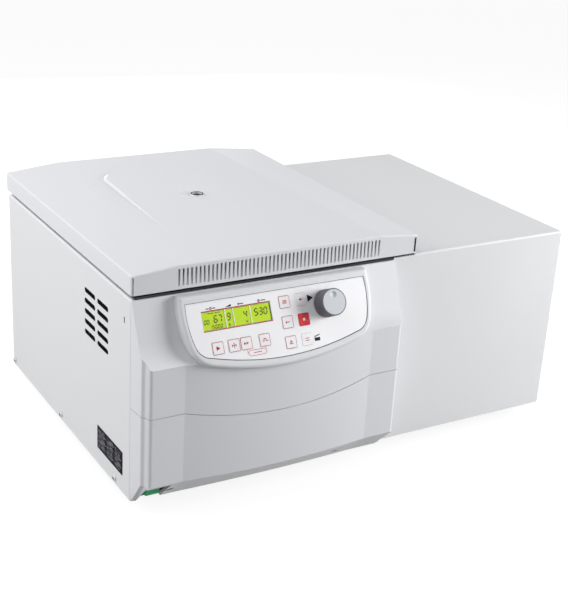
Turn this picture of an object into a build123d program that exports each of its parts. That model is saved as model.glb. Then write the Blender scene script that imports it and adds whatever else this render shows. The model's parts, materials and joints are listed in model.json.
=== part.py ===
"""Refrigerated bench centrifuge with a two-place swing-out rotor for microplates.

Drawing frame, in millimetres: X runs right from the outside of the left wall, Y runs back from
the front face of the lid, Z runs up from the lower edge of the casing. TO_ORIGIN moves every
piece so that the finished machine stands on Z = 0 and is centred over its own origin.
"""
from build123d import *
import os
from math import cos, hypot, radians, sin

# ---- driving dimensions: overall sizes -------------------------------------------------------
LID_W = 437.6
LID_D = 483.3
UNIT_W = 277.4             # refrigeration unit, from the lid's right edge to the right wall
TOTAL_W = LID_W + UNIT_W   # left wall to right wall
CASING_TOP = 288.0
COVER_TOP = CASING_TOP + 3.0
FOOT_H = 22.0
PANEL_W = 400.0            # front moulding

# ---- sheet metal and mouldings ----------------------------------------------------------------
SHEET = 2.0
MOULD = 3.0
GAP = 0.4                  # clearance between pieces that only stand beside each other
SEAM = 1.0                 # open joint between the two front mouldings
CASING_FRONT = 0.0
CASING_REAR = LID_D - 8.6
COVER_FRONT = 2.6
COVER_REAR = LID_D - 16.7
CASING_W = LID_W - 1.6     # the partition wall stands just inside the lid's right edge
BEND_R = 3.0               # outside radius of the folded sheet edges
BASE_T = 2.5
BASE_FLANGE = 18.0

# ---- lid --------------------------------------------------------------------------------------
LID_BOTTOM = CASING_TOP + 5.5
LID_EDGE = 26.6            # height of the lid's side walls
CROWN_FRONT = 6.4          # rise from the side walls to the flat middle, at the front
CROWN_REAR = 8.9
CREASE_FRONT = 156.6       # half width of the flat middle at the front
CREASE_REAR = 134.0
LID_CORNER_R = 4.0
PAD_RISE = 3.0
PAD_HALF_FRONT = 119.0
PAD_HALF_REAR = 112.0
PAD_Y = (84.0, 417.0)
PAD_CORNER_R = 62.0
PAD_SLOPE = 58.0           # lean of the pad's sides from upright, degrees
LOUVRES = 52
LOUVRE_PITCH = 6.0
LOUVRE_W = 2.7
LOUVRE_Z = (4.5, 27.5)     # above the lid's lower edge
GRILLE_SIDE = 2.0          # width of the lid's side walls beside the grille
GRILLE_DEPTH = 7.5         # how far the grille's opening goes in behind the lid's front
GRILLE_GAP = 1.2           # open line between the grille and the lid's front corners
GRILLE_BACK = 0.3          # the grille stands this far behind the lid's front
GRILLE_T = 6.5
LOUVRE_DEPTH = (1.5, 5.2)  # depth of a slot at its lower and upper end
INNER_PLATE_T = 1.5
PORT_Y = 260.0
DISH_R = 32.0
DISH_DEPTH = 3.4
PORT_RING_R = 10.5
PORT_GLASS_R = 7.5
PORT_FLANGE_W = 4.0        # collar of the port ring that lies on the inner plate
LID_POST_X = 13.0          # screw posts of the lid shell on the inner plate
LID_POST_Y = (60.0, 250.0, 400.0)
LID_POST_R = 4.0
LID_EDGE_R = 2.0           # rounding of the lid's long edges

# ---- lid hinge --------------------------------------------------------------------------------
HINGE_Y = LID_D - 5.3
HINGE_Z = LID_BOTTOM + 6.5
HINGE_SPAN = 150.0         # each hinge stands this far from the middle of the lid
KNUCKLE_R = 6.5
ARM_L = 30.0
EAR_L = 10.0
HINGE_PIN_R = 4.0
RUNNING = 0.06             # radial clearance of a pin in its bore

# ---- lid lock ---------------------------------------------------------------------------------
STRIKER_SPAN = 95.0
STRIKER_Y = 24.0
STRIKER_DROP = 27.0
STRIKER_W = 20.0
STRIKER_T = 3.0
LOCK_TRAVEL = 12.0
LOCK_BAR_Z = CASING_TOP - 13.5
FINGER = (7.0, 6.0)        # height and depth of a locking finger

# ---- chamber ----------------------------------------------------------------------------------
BOWL_R = 182.0
BOWL_T = 1.2
BOWL_FLOOR = 122.0
BOWL_BEND_R = 8.0
FLANGE_W = 14.0
GASKET_W = 7.0
GASKET_H = 4.3
DECK_T = 3.0
DECK_EDGE = COVER_FRONT + SHEET + GAP   # the deck stands just clear of the cover's wing
DECK_FRONT = 1.0           # front of the deck behind the front moulding
DECK_REAR = 12.0
DECK_CORNER_R = 4.0
FOAM_R = BOWL_R + 27.0
FOAM_BOTTOM = BOWL_FLOOR - 16.0
COIL = (9.0, 12.0)         # flattened evaporator tube: depth from the bowl, and height
COIL_CORNER = 3.0
COIL_PITCH = 22.0
COLLAR_R = 24.0
COLLAR_H = 9.0

# ---- motor and rotor --------------------------------------------------------------------------
MOTOR_R = 66.0
MOTOR_Z = (22.0, 98.0)
SHAFT_R = 10.0
ROTOR_Z = 208.0            # height of the bucket pivots
HUB_R = 27.0
HUB_Z = (ROTOR_Z - 32.0, ROTOR_Z + 14.0)
NUT_R = 15.0
NUT_H = 16.0
TRUNNION_R = 5.0
PLATE_W = 127.8            # microplate footprint
PLATE_D = 85.5
PLATE_CLEAR = 0.8
BUCKET_T = 2.2
EAR_T = 8.0                # depth of a bucket's ear from the bucket wall to its outer face
EAR_CLEAR = 0.6
BUCKET_HALF_X = PLATE_D / 2 + PLATE_CLEAR + BUCKET_T
BUCKET_HALF_Y = PLATE_W / 2 + PLATE_CLEAR + BUCKET_T
PIVOT_X = BUCKET_HALF_X + 44.0            # bucket pivots from the rotor axis
BEAM_Y = BUCKET_HALF_Y + EAR_T + EAR_CLEAR   # inner face of each yoke beam
BEAM_T = 10.0
BEAM_H = 24.0
BEAM_HALF = PIVOT_X + 16.0
BUCKET_BOTTOM = -46.0      # below the pivot
BUCKET_RIM = -7.0
BUCKET_SWING = 90.0

# ---- front mouldings --------------------------------------------------------------------------
FRONT_Y = -43.0            # flat shoulders either side of the belly
BELLY = 9.5                # how far the belly stands out beyond the shoulders
BELLY_HALF = 143.0
CHEEK = (1.5, -30.0)       # end of the narrow side cheek
STEP = (5.5, -33.5)        # foot of the step between cheek and shoulder
SHOULDER_X = 8.5
SHOULDER_R = 5.0
STEP_R = 5.0
CHEEK_R = 3.5
FOOT_Y = -4.0              # front of the moulding at its lower edge
FOOT_BELLY = 3.5
CHIN_Z = 38.7              # where the overhanging underside begins
SEAM_Z = 138.5
SEAM_DIP = 18.0
POCKET_TOP_Y = -1.0        # the scooped pockets beside the console
POCKET_LOW = (-21.5, CASING_TOP - 52.0)     # here the slope begins to bend out to the ledge
LEDGE_Z = CASING_TOP - 81.5
CONSOLE_LEAN = 0.495       # run per rise of the console face
CONSOLE_Y = -38.88         # the console face at the height CONSOLE_MID
CONSOLE_MID = CASING_TOP - 48.0
CONSOLE_TOP = CASING_TOP - GAP
CONSOLE_EDGE_R = 4.5
BEZEL_W = 7.5
BEZEL_DROP = 3.8           # extra width of the bezel along its lower edge
FOIL_GAP = 1.0             # open line round the foil
GROOVE = (1.2, 1.0)        # width and depth of the groove under that line
WINDOW_LEDGE = 0.8         # edge of the console wall that the window lies on
RECESS = 1.2
NOTCH_X = (7.5, 42.5)
NOTCH_Z = (-1.0, 34.0)
ACCESS_X = (49.0, 308.0)     # openings for locking pins on the slanted underside
ACCESS = (10.0, 5.0)
ACCESS_Z = 16.0

# ---- console ----------------------------------------------------------------------------------
OVERLAY_T = 0.5
KEY = 16.4
KEY_CLEAR = 0.3
KEY_PROUD = 0.35
KEY_T = 3.4
KEY_TRAVEL = 0.6
KEY_GRID_X = (7.0, 32.0)
KEY_GRID_Y = (27.3, 0.3, -26.4)
KEY_ROW_Y = -17.2
KEY_ROW_X = (-99.3, -76.2, -58.4, -31.1)
WINDOW_MID = (-64.5, 18.8)
WINDOW = (101.0, 25.4)
KNOB_AT = (69.4, 16.2)
KNOB_R = 19.0
KNOB_H = 22.0
KNOB_CAP_R = KNOB_R - 2.0
KNOB_FLUTES = 36
FLUTE_R = 0.8
ENCODER_SHAFT_R = 3.0
BOARD_DEPTH = 9.0          # front of the control board below the console face
BOARD_T = 1.6
BOARD = (188.0, 60.0)
BOARD_MID = (-10.0, 1.0)
BOSS_R = 2.5
BOSSES_AT = ((-100.0, 0.0), (-44.7, -17.0), (-8.0, 20.0), (50.0, 24.0), (50.0, -20.0))

# ---- vents and fittings of the casing ---------------------------------------------------------
VENT_L = 38.0
VENT_H = 7.6
VENT_Y = (138.0, 93.0)
VENT_TOP = CASING_TOP - 41.5
VENT_ROWS = 5
VENT_PITCH = 15.3
RELEASE_SLOT = (9.0, 3.2)  # opening for the emergency release of the lid
RELEASE_Y = 21.0
SCREW_HEAD_R = 4.0
SCREW_HEAD_T = 2.0
SCREW_R = 2.0
SCREW_L = 8.0
SCREW_PLAY = 0.1
CASING_SCREWS_Y = (50.0, 254.0, 464.0)
COVER_SCREWS_Y = (50.0, 254.0, 444.0)
SIDE_SCREW_Z = 8.5
INLET_AT = (70.0, 70.0)
INLET = (27.5, 20.5)
SWITCH_AT = (130.0, 70.0)
SWITCH = (22.0, 28.0)
ROCKER_TILT = 12.0
ROCKER_AXIS = 4.0          # rocker's trunnions, inside the rear wall
ROCKER_PIN_R = 1.5
ROCKER_PIN_L = 2.0         # how far each trunnion enters the frame

# ---- drip tray --------------------------------------------------------------------------------
TRAY_W = 22.0
TRAY_X = 18.3
TRAY_L = 170.0
TRAY_Z = (BASE_T + 0.3, 16.5)
TRAY_FRONT = -10.0
TRAY_BODY = 1.0            # front of the tray's trough, behind the grip
TRAY_T = 1.6
GRIP_T = 7.0
GRIP_Z = (7.7, 16.2)

# ---- refrigeration unit -----------------------------------------------------------------------
COMPRESSOR_R = 72.0
COMPRESSOR_H = 175.0
COMPRESSOR_AT = (CASING_W + COMPRESSOR_R + 22.0, 330.0)
SUCTION_R = 4.8
DISCHARGE_R = 3.2
PIPE_HOLE_Y = (340.0, 400.0)   # passage for the pipes in the partition
PIPE_HOLE_Z = (112.0, 150.0)
CONDENSER_X = (TOTAL_W - 51.0, TOTAL_W - 15.0)
CONDENSER_Y = (40.0, 262.0)
CONDENSER_Z = (22.0, 240.0)
CONDENSER_FINS = 14
CONDENSER_TUBES = 12
HEADER_R = 9.0
FAN_SHAFT_R = 3.0
FAN_R = 92.0
FAN_DEPTH = 24.0
FAN_BLADES = 7
COOL_ROWS = 9
COOL_PITCH = 20.0
COOL_L = 90.0
COOL_H = 8.0

# ---- derived places ---------------------------------------------------------------------------
LID_MID = LID_W / 2
PANEL_MID = PANEL_W / 2
AXIS = (LID_MID, PORT_Y)
REAR_MOST = HINGE_Y + KNUCKLE_R
FRONT_MOST = -61.4
TO_ORIGIN = Pos(-TOTAL_W / 2, -(FRONT_MOST + REAR_MOST) / 2, FOOT_H)
LEAN_LENGTH = hypot(1.0, CONSOLE_LEAN)
FACE_NORMAL = (0.0, -1.0 / LEAN_LENGTH, CONSOLE_LEAN / LEAN_LENGTH)
CONSOLE_PLANE = Plane(origin=(PANEL_MID, CONSOLE_Y, CONSOLE_MID), x_dir=(1, 0, 0), z_dir=FACE_NORMAL)
INNER_PLATE_Z = LID_BOTTOM + 0.5
CONSOLE_HALF = PANEL_MID - 58.0
GASKET_R = BOWL_R + 1.5


# ---- small helpers ----------------------------------------------------------------------------
def block(x, y, z):
    """Box between two limits on each axis."""
    size = [high - low for low, high in (x, y, z)]
    middle = [(high + low) / 2 for low, high in (x, y, z)]
    return Pos(*middle) * Box(*size)


def rod(x, y, z, radius):
    """Upright cylinder at (x, y) from z[0] to z[1]."""
    return Pos(x, y, (z[0] + z[1]) / 2) * Cylinder(radius, z[1] - z[0])


def tube(x, y, z, outer, inner):
    """Upright ring at (x, y)."""
    return rod(x, y, z, outer) - rod(x, y, (z[0] - 1, z[1] + 1), inner)


def cross_rod(x, y, z, radius):
    """Cylinder along X from x[0] to x[1]."""
    return Pos((x[0] + x[1]) / 2, y, z) * Rot(0, 90, 0) * Cylinder(radius, x[1] - x[0])


def back_rod(x, y, z, radius):
    """Cylinder along Y from y[0] to y[1]."""
    return Pos(x, (y[0] + y[1]) / 2, z) * Rot(90, 0, 0) * Cylinder(radius, y[1] - y[0])


def polygon_yz(points, x):
    """Prism along X whose outline is given by (y, z) points."""
    outline = make_face(Polyline(*[(x[0], y, z) for y, z in points], close=True))
    return extrude(outline, amount=x[1] - x[0], dir=(1, 0, 0))


def polygon_xz(points, y):
    """Prism along Y whose outline is given by (x, z) points."""
    outline = make_face(Polyline(*[(x, y[0], z) for x, z in points], close=True))
    return extrude(outline, amount=y[1] - y[0], dir=(0, 1, 0))


def on_console(x, y, depth=0.0):
    """Place on the console: x, y across its face, depth below the face (negative is above)."""
    return CONSOLE_PLANE.location * Pos(x, y, -depth)


def console_slab(x, y, size, low, high, corner=0.0):
    """Rectangular slab parallel to the console face, from low to high above the face."""
    outline = RectangleRounded(*size, corner) if corner else Rectangle(*size)
    return on_console(x, y, -low) * extrude(outline, amount=high - low)


def console_rod(x, y, radius, low, high):
    """Round slab square to the console face."""
    return on_console(x, y, -low) * extrude(Circle(radius), amount=high - low)


def solids_of(*groups):
    """One compound from separate solids, for a node that holds several like pieces."""
    found = []
    for group in groups:
        found += list(group.solids())
    return Compound(found)


# ---- lid --------------------------------------------------------------------------------------
def lid_profile(y, crown, crease, inset):
    """Cross-section of the lid at a given depth, every face moved in by inset."""
    low = LID_BOTTOM
    edge = LID_BOTTOM + LID_EDGE - inset
    points = [
        (inset, low), (inset, edge), (LID_MID - crease, edge + crown),
        (LID_MID + crease, edge + crown), (LID_W - inset, edge), (LID_W - inset, low),
    ]
    return make_face(Polyline(*[(x, y, z) for x, z in points], close=True))


def lid_form(inset):
    """Solid within the lid's outer faces, every face but the lower one moved in by inset."""
    front = lid_profile(inset, CROWN_FRONT, CREASE_FRONT, inset)
    rear = lid_profile(LID_D - inset, CROWN_REAR, CREASE_REAR, inset)
    form = loft([front, rear], ruled=True)
    corners = form.edges().filter_by(Axis.Z)
    return fillet(corners, LID_CORNER_R - inset)


def rounded_lid():
    """Outer form of the lid with its upper outline softened."""
    form = lid_form(0.0)
    walls = form.faces().filter_by(lambda face: abs(face.normal_at().Z) < 0.1)
    outline = [edge for wall in walls for edge in wall.edges()
               if edge.center().Z > LID_BOTTOM + LID_EDGE / 2 and abs(edge.tangent_at(0.5).Z) < 0.5]
    return fillet(outline, LID_EDGE_R)


def lid_pad():
    """Raised pad on the crown: soft sides, and a top that sinks into the crown at the front."""
    base_z = LID_BOTTOM + LID_EDGE + CROWN_FRONT - MOULD
    front, rear = PAD_Y
    outline = make_face(Polyline(
        (LID_MID - PAD_HALF_FRONT, front), (LID_MID + PAD_HALF_FRONT, front),
        (LID_MID + PAD_HALF_REAR, rear), (LID_MID - PAD_HALF_REAR, rear), close=True))
    back_corners = outline.vertices().sort_by(Axis.Y)[-2:]
    outline = fillet(back_corners, PAD_CORNER_R)
    pad = extrude(Pos(0, 0, base_z) * outline, amount=2 * MOULD + PAD_RISE, taper=PAD_SLOPE)
    top_front = LID_BOTTOM + LID_EDGE + CROWN_FRONT
    top_rear = LID_BOTTOM + LID_EDGE + CROWN_REAR + PAD_RISE
    wedge = polygon_yz([(front, base_z - 1), (front, top_front), (rear, top_rear), (rear, base_z - 1)],
                       (0, LID_W))
    return pad & wedge


def lid_top_at(y):
    """Height of the pad's top over the given depth."""
    share = (y - PAD_Y[0]) / (PAD_Y[1] - PAD_Y[0])
    return LID_BOTTOM + LID_EDGE + CROWN_FRONT + share * (CROWN_REAR + PAD_RISE - CROWN_FRONT)


def lid_shell():
    shell = rounded_lid() + lid_pad() - lid_form(MOULD)
    for x in (LID_POST_X, LID_W - LID_POST_X):
        for y in LID_POST_Y:
            shell += rod(x, y, (INNER_PLATE_Z + INNER_PLATE_T, LID_BOTTOM + LID_EDGE), LID_POST_R)
    dish_ball = (DISH_R ** 2 + DISH_DEPTH ** 2) / (2 * DISH_DEPTH)
    dish_top = lid_top_at(PORT_Y)
    shell -= Pos(LID_MID, PORT_Y, dish_top - DISH_DEPTH + dish_ball) * Sphere(dish_ball)
    shell -= rod(LID_MID, PORT_Y, (LID_BOTTOM, dish_top + 1), PORT_RING_R + GAP)
    shell -= grille_opening()
    for side in (-1, 1):
        middle = LID_MID + side * HINGE_SPAN
        half = ARM_L / 2 + EAR_L + 2.0
        shell -= block((middle - half, middle + half), (HINGE_Y - KNUCKLE_R - 2, LID_D + 1),
                       (LID_BOTTOM - 1, HINGE_Z + KNUCKLE_R + 2.5))
    return shell


def grille_outline(side_inset, top_inset):
    """Front view of the space inside the lid's front edge."""
    low = LID_BOTTOM
    edge = LID_BOTTOM + LID_EDGE - top_inset
    left = LID_MID - CREASE_FRONT
    return [(side_inset, low), (side_inset, edge), (left, edge + CROWN_FRONT),
            (LID_W - left, edge + CROWN_FRONT), (LID_W - side_inset, edge), (LID_W - side_inset, low)]


def grille_opening():
    """Space that the grille fills, cut through the lid's front wall."""
    return polygon_xz(grille_outline(GRILLE_SIDE, MOULD), (-1, GRILLE_DEPTH))


def lid_front_grille():
    """Front strip of the lid with a row of upright slots, each deeper towards its top."""
    strip = polygon_xz(grille_outline(GRILLE_SIDE + GRILLE_GAP, MOULD), (GRILLE_BACK, GRILLE_BACK + GRILLE_T))
    first = LID_MID - (LOUVRES - 1) * LOUVRE_PITCH / 2
    low, high = (LID_BOTTOM + z for z in LOUVRE_Z)
    floor = [GRILLE_BACK + depth for depth in LOUVRE_DEPTH]
    slot = polygon_yz([(-1, low), (floor[0], low), (floor[1], high), (-1, high)], (0, LOUVRE_W))
    return strip - [Pos(first - LOUVRE_W / 2 + i * LOUVRE_PITCH, 0, 0) * slot for i in range(LOUVRES)]


def lid_inner_plate():
    """Steel plate under the lid that meets the chamber gasket and carries hinges and strikers."""
    edge = MOULD + 3.0
    plate = block((edge, LID_W - edge), (edge + 2, HINGE_Y - KNUCKLE_R - 4),
                  (INNER_PLATE_Z, INNER_PLATE_Z + INNER_PLATE_T))
    plate = fillet(plate.edges().filter_by(Axis.Z), LID_CORNER_R - MOULD)
    return plate - rod(LID_MID, PORT_Y, (LID_BOTTOM - 1, LID_BOTTOM + 10), PORT_RING_R + GAP)


def port_ring():
    """Tube that lines the viewing port, with a low lip in the dish and a collar on the inner plate."""
    top = lid_top_at(PORT_Y) - DISH_DEPTH + 2.2
    seat = INNER_PLATE_Z + INNER_PLATE_T
    ring = tube(LID_MID, PORT_Y, (INNER_PLATE_Z, top), PORT_RING_R, PORT_GLASS_R)
    ring = chamfer(ring.edges().filter_by(GeomType.CIRCLE).sort_by(Axis.Z)[-2:], 0.9)
    return ring + tube(LID_MID, PORT_Y, (seat, seat + 2.0), PORT_RING_R + PORT_FLANGE_W, PORT_RING_R - 1)


def port_glass():
    top = lid_top_at(PORT_Y) - DISH_DEPTH + 2.2
    return rod(LID_MID, PORT_Y, (top - 7.0, top - 3.0), PORT_GLASS_R - 0.02)


def hinge_places():
    return [LID_MID - HINGE_SPAN, LID_MID + HINGE_SPAN]


def hinge_arms():
    """Lid half of each hinge: a knuckle on a strap that lies on the inner plate."""
    strap_low = INNER_PLATE_Z + INNER_PLATE_T
    arms = []
    for x in hinge_places():
        half = ARM_L / 2
        knuckle = cross_rod((x - half, x + half), HINGE_Y, HINGE_Z, KNUCKLE_R)
        strap = block((x - half, x + half), (HINGE_Y - 70, HINGE_Y), (strap_low, strap_low + 4.0))
        bore = cross_rod((x - half - 1, x + half + 1), HINGE_Y, HINGE_Z, HINGE_PIN_R + RUNNING)
        arms.append(knuckle + strap - bore)
    return solids_of(*arms)


def hinge_brackets():
    """Casing half of each hinge: a plate on the rear wall with two ears."""
    brackets = []
    for x in hinge_places():
        inner = ARM_L / 2 + 0.5
        outer = inner + EAR_L
        ears = [cross_rod((x + a, x + b), HINGE_Y, HINGE_Z, KNUCKLE_R) +
                block((x + a, x + b), (CASING_REAR + 0.02, HINGE_Y + KNUCKLE_R - 2), (CASING_TOP - 20, HINGE_Z))
                for a, b in ((-outer, -inner), (inner, outer))]
        plate = block((x - outer, x + outer), (CASING_REAR + 0.02, CASING_REAR + 4.0),
                      (CASING_TOP - 60, CASING_TOP - 8))
        bore = cross_rod((x - outer - 1, x + outer + 1), HINGE_Y, HINGE_Z, HINGE_PIN_R)
        brackets.append(plate + ears[0] + ears[1] - bore)
    return solids_of(*brackets)


def hinge_pins():
    half = ARM_L / 2 + 0.5 + EAR_L
    return solids_of(*[cross_rod((x - half, x + half), HINGE_Y, HINGE_Z, HINGE_PIN_R)
                       for x in hinge_places()])


def striker_places():
    return [LID_MID - STRIKER_SPAN, LID_MID + STRIKER_SPAN]


def lid_strikers():
    """Tongues under the lid, each with a window that a locking finger enters."""
    tongues = []
    for x in striker_places():
        tongue = block((x, x + STRIKER_T), (STRIKER_Y - STRIKER_W / 2, STRIKER_Y + STRIKER_W / 2),
                       (INNER_PLATE_Z - STRIKER_DROP, INNER_PLATE_Z))
        foot = block((x - 14, x + STRIKER_T), (STRIKER_Y - STRIKER_W / 2, STRIKER_Y + STRIKER_W / 2),
                     (INNER_PLATE_Z - 2.0, INNER_PLATE_Z))
        window = block((x - 1, x + STRIKER_T + 1), (STRIKER_Y - FINGER[1] / 2 - 2, STRIKER_Y + FINGER[1] / 2 + 2),
                       (LOCK_BAR_Z - FINGER[0] / 2 - 1.5, LOCK_BAR_Z + FINGER[0] / 2 + 1.5))
        tongues.append(tongue + foot - window)
    return solids_of(*tongues)


# ---- casing -----------------------------------------------------------------------------------
def slot_along_y(y, z, length, height, x):
    """Round-ended slot through a wall that stands square to X."""
    outline = Plane.YZ * SlotOverall(length, height)
    return Pos(x[0], y, z) * extrude(outline, amount=x[1] - x[0])


def slot_along_x(x, z, length, height, y):
    """Round-ended slot through a wall that stands square to Y."""
    outline = Plane.XZ * SlotOverall(length, height)
    return Pos(x, y[1], z) * extrude(outline, amount=y[1] - y[0])


def folded_box(x, y, z, open_sides):
    """Sheet-metal box open below, with rounded upper and upright outer edges.

    open_sides lists the sides left open, out of "left", "right" and "front".
    """
    outer = block(x, y, z)
    outer = fillet(outer.faces().sort_by(Axis.Z)[-1].edges() + outer.edges().filter_by(Axis.Z), BEND_R)
    reach = BEND_R + SHEET
    inner_x = [x[0] + SHEET, x[1] - SHEET]
    inner_y = [y[0] + SHEET, y[1] - SHEET]
    if "left" in open_sides:
        inner_x[0] = x[0] - reach
    if "right" in open_sides:
        inner_x[1] = x[1] + reach
    if "front" in open_sides:
        inner_y[0] = y[0] - reach
    return outer - block(inner_x, inner_y, (z[0] - 1, z[1] - SHEET))


def main_casing():
    """Left wall, rear wall, partition and top of the centrifuge, folded from sheet."""
    casing = folded_box((0, CASING_W), (CASING_FRONT, CASING_REAR), (0, CASING_TOP), ("front",))
    casing -= rod(*AXIS, (CASING_TOP - 10, CASING_TOP + 1), BOWL_R + BOWL_T + 2)
    wing = block((PANEL_W + GAP, TOTAL_W), (-1, COVER_FRONT + SHEET + GAP), (-1, CASING_TOP + 1))
    casing -= wing
    for y in VENT_Y:
        for row in range(VENT_ROWS):
            casing -= slot_along_y(y, VENT_TOP - row * VENT_PITCH, VENT_L, VENT_H, (-1, SHEET + 1))
    release = Plane.YZ * SlotOverall(*RELEASE_SLOT, rotation=90)
    casing -= Pos(-1, RELEASE_Y, CASING_TOP - 34.0) * extrude(release, amount=SHEET + 2)
    for y in CASING_SCREWS_Y:
        casing -= cross_rod((-1, SHEET + 1), y, SIDE_SCREW_Z, SCREW_R + SCREW_PLAY)
    for (x, z), (wide, high) in ((INLET_AT, INLET), (SWITCH_AT, SWITCH)):
        casing -= Pos(x, CASING_REAR, z) * Box(wide + GAP, 4 * SHEET, high + GAP)
    casing -= striker_slots((CASING_TOP - 5, CASING_TOP + 1))
    casing -= block((CASING_W - SHEET - 1, CASING_W + 1), (0, CASING_REAR - SHEET), (-1, BASE_T + GAP))
    casing -= block((CASING_W - 10, CASING_W + 1), PIPE_HOLE_Y, PIPE_HOLE_Z)
    return casing


def striker_slots(z):
    """Slots through which the lid's strikers reach the lock."""
    slots = [block((x - 3.0, x + STRIKER_T + 3.0),
                   (STRIKER_Y - STRIKER_W / 2 - 3.5, STRIKER_Y + STRIKER_W / 2 + 3.5), z)
             for x in striker_places()]
    return slots[0] + slots[1]


def top_deck():
    """Moulded deck round the chamber mouth; it clamps the flange of the bowl."""
    deck = block((DECK_EDGE, CASING_W - DECK_EDGE), (DECK_EDGE, CASING_REAR - DECK_REAR),
                 (CASING_TOP, CASING_TOP + DECK_T))
    deck = fillet(deck.edges().filter_by(Axis.Z), DECK_CORNER_R)
    deck += block((DECK_EDGE, PANEL_W - GAP), (DECK_FRONT, DECK_EDGE + DECK_CORNER_R),
                  (CASING_TOP, CASING_TOP + DECK_T))
    deck -= rod(*AXIS, (CASING_TOP - 1, CASING_TOP + 10), GASKET_R + GASKET_W + GAP)
    deck -= rod(*AXIS, (CASING_TOP - 1, CASING_TOP + BOWL_T), BOWL_R + FLANGE_W + GAP)
    return deck - striker_slots((CASING_TOP - 1, CASING_TOP + 10))


def refrigeration_cover():
    """Plain sheet cover of the refrigeration unit, with a wing behind the front moulding's edge."""
    left = CASING_W + 1.0
    cover = folded_box((left - 20, TOTAL_W), (COVER_FRONT, COVER_REAR), (0, COVER_TOP), ("left",))
    cover -= block((left - 40, left), (COVER_FRONT + SHEET, COVER_REAR + 1), (-1, COVER_TOP + 1))
    cover -= block((left - 40, left), (-1, COVER_FRONT + SHEET + 1), (-1, COVER_TOP + 1))
    cover += block((PANEL_W + GAP, left + 1), (COVER_FRONT, COVER_FRONT + SHEET), (0, COVER_TOP - 1.5))
    for row in range(COOL_ROWS):
        z = CONDENSER_Z[0] + 25 + row * COOL_PITCH
        for y in (95.0, 205.0):
            cover -= slot_along_y(y, z, COOL_L, COOL_H, (TOTAL_W - SHEET - 1, TOTAL_W + 1))
        cover -= slot_along_x(610.0, z, COOL_L, COOL_H, (COVER_REAR - SHEET - 1, COVER_REAR + 1))
    for y in COVER_SCREWS_Y:
        cover -= cross_rod((TOTAL_W - SHEET - 1, TOTAL_W + 1), y, SIDE_SCREW_Z, SCREW_R + SCREW_PLAY)
    return cover


def base_plate():
    """Floor of the machine, folded up along its outer sides; it reaches further back under the motor."""
    left, right = SHEET + GAP, TOTAL_W - SHEET - GAP
    step = CASING_W - SHEET - GAP
    front = COVER_FRONT + SHEET + GAP
    motor_rear, cover_rear = CASING_REAR - SHEET - GAP, COVER_REAR - SHEET - GAP
    plate = block((left, step), (front, motor_rear), (0, BASE_FLANGE))
    plate += block((step, right), (front, cover_rear), (0, BASE_FLANGE))
    within = (BASE_T, BASE_FLANGE + 1)
    plate -= block((left + BASE_T, step - BASE_T), (front + BASE_T, motor_rear - BASE_T), within)
    plate -= block((step - BASE_T - 1, right - BASE_T), (front + BASE_T, cover_rear - BASE_T), within)
    plate -= block((step, CASING_W + GAP), (front - 1, cover_rear + 1), within)
    plate -= block((TRAY_X - 1.0, TRAY_X + TRAY_W + 1.0), (front - 1, front + BASE_T + 1), within)
    for y in CASING_SCREWS_Y:
        plate -= cross_rod((0, SCREW_L + 1), y, SIDE_SCREW_Z, SCREW_R + SCREW_PLAY)
    for y in COVER_SCREWS_Y:
        plate -= cross_rod((TOTAL_W - SCREW_L - 1, TOTAL_W), y, SIDE_SCREW_Z, SCREW_R + SCREW_PLAY)
    return plate


def foot_places():
    return [(x, y) for x in (78.0, TOTAL_W - 78.0) for y in (78.0, COVER_REAR - 60.0)]


def rubber_feet():
    feet = []
    for x, y in foot_places():
        outline = Polyline((0, 0), (0, -FOOT_H), (15, -FOOT_H), (17, -FOOT_H + 2), (20, 0), close=True)
        feet.append(Pos(x, y, 0) * revolve(Plane.XZ * make_face(outline), Axis.Z))
    return solids_of(*feet)


def side_screw(x, y, way):
    """Pan-head screw in a side wall whose outside is at x; way is +1 where the shank points right."""
    head = sorted((x - way * SCREW_HEAD_T, x))
    shank = sorted((x, x + way * SCREW_L))
    pan = cross_rod(head, y, SIDE_SCREW_Z, SCREW_HEAD_R)
    pan = chamfer(pan.edges().filter_by(GeomType.CIRCLE).sort_by(Axis.X)[0 if way > 0 else -1], SCREW_HEAD_T / 2)
    return pan + cross_rod(shank, y, SIDE_SCREW_Z, SCREW_R)


def casing_screws():
    """Screws that hold both side walls to the flanges of the base plate."""
    left = [side_screw(0, y, 1) for y in CASING_SCREWS_Y]
    return solids_of(*left, *[side_screw(TOTAL_W, y, -1) for y in COVER_SCREWS_Y])


# ---- front mouldings --------------------------------------------------------------------------
def front_outline(z, cheek, step, shoulder, front, belly):
    """Plan view of the front moulding at one height, mirrored about its middle."""
    left = [(0, 0), cheek, step, (shoulder, front), (PANEL_MID - BELLY_HALF, front)]
    right = [(PANEL_W - x, y) for x, y in reversed(left)]
    edges = Polyline(*[(x, y, z) for x, y in left]).edges()
    edges += ThreePointArc((*left[-1], z), (PANEL_MID, front - belly, z), (*right[0], z)).edges()
    edges += Polyline(*[(x, y, z) for x, y in right]).edges()
    edges += Line((*right[-1], z), (*left[0], z)).edges()
    return make_face(edges)


def front_form():
    """Solid within the outer faces of both front mouldings, without the pockets and console."""
    plan = front_outline(CHIN_Z, CHEEK, STEP, SHOULDER_X, FRONT_Y, BELLY)
    upper = extrude(plan, amount=CASING_TOP - CHIN_Z, dir=(0, 0, 1))
    foot_cheek = (CHEEK[0], FOOT_Y + 2.0)
    foot_step = (STEP[0], FOOT_Y + 1.2)
    foot = front_outline(0.0, foot_cheek, foot_step, SHOULDER_X, FOOT_Y, FOOT_BELLY)
    return upper, loft([foot, plan], ruled=True)


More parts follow.
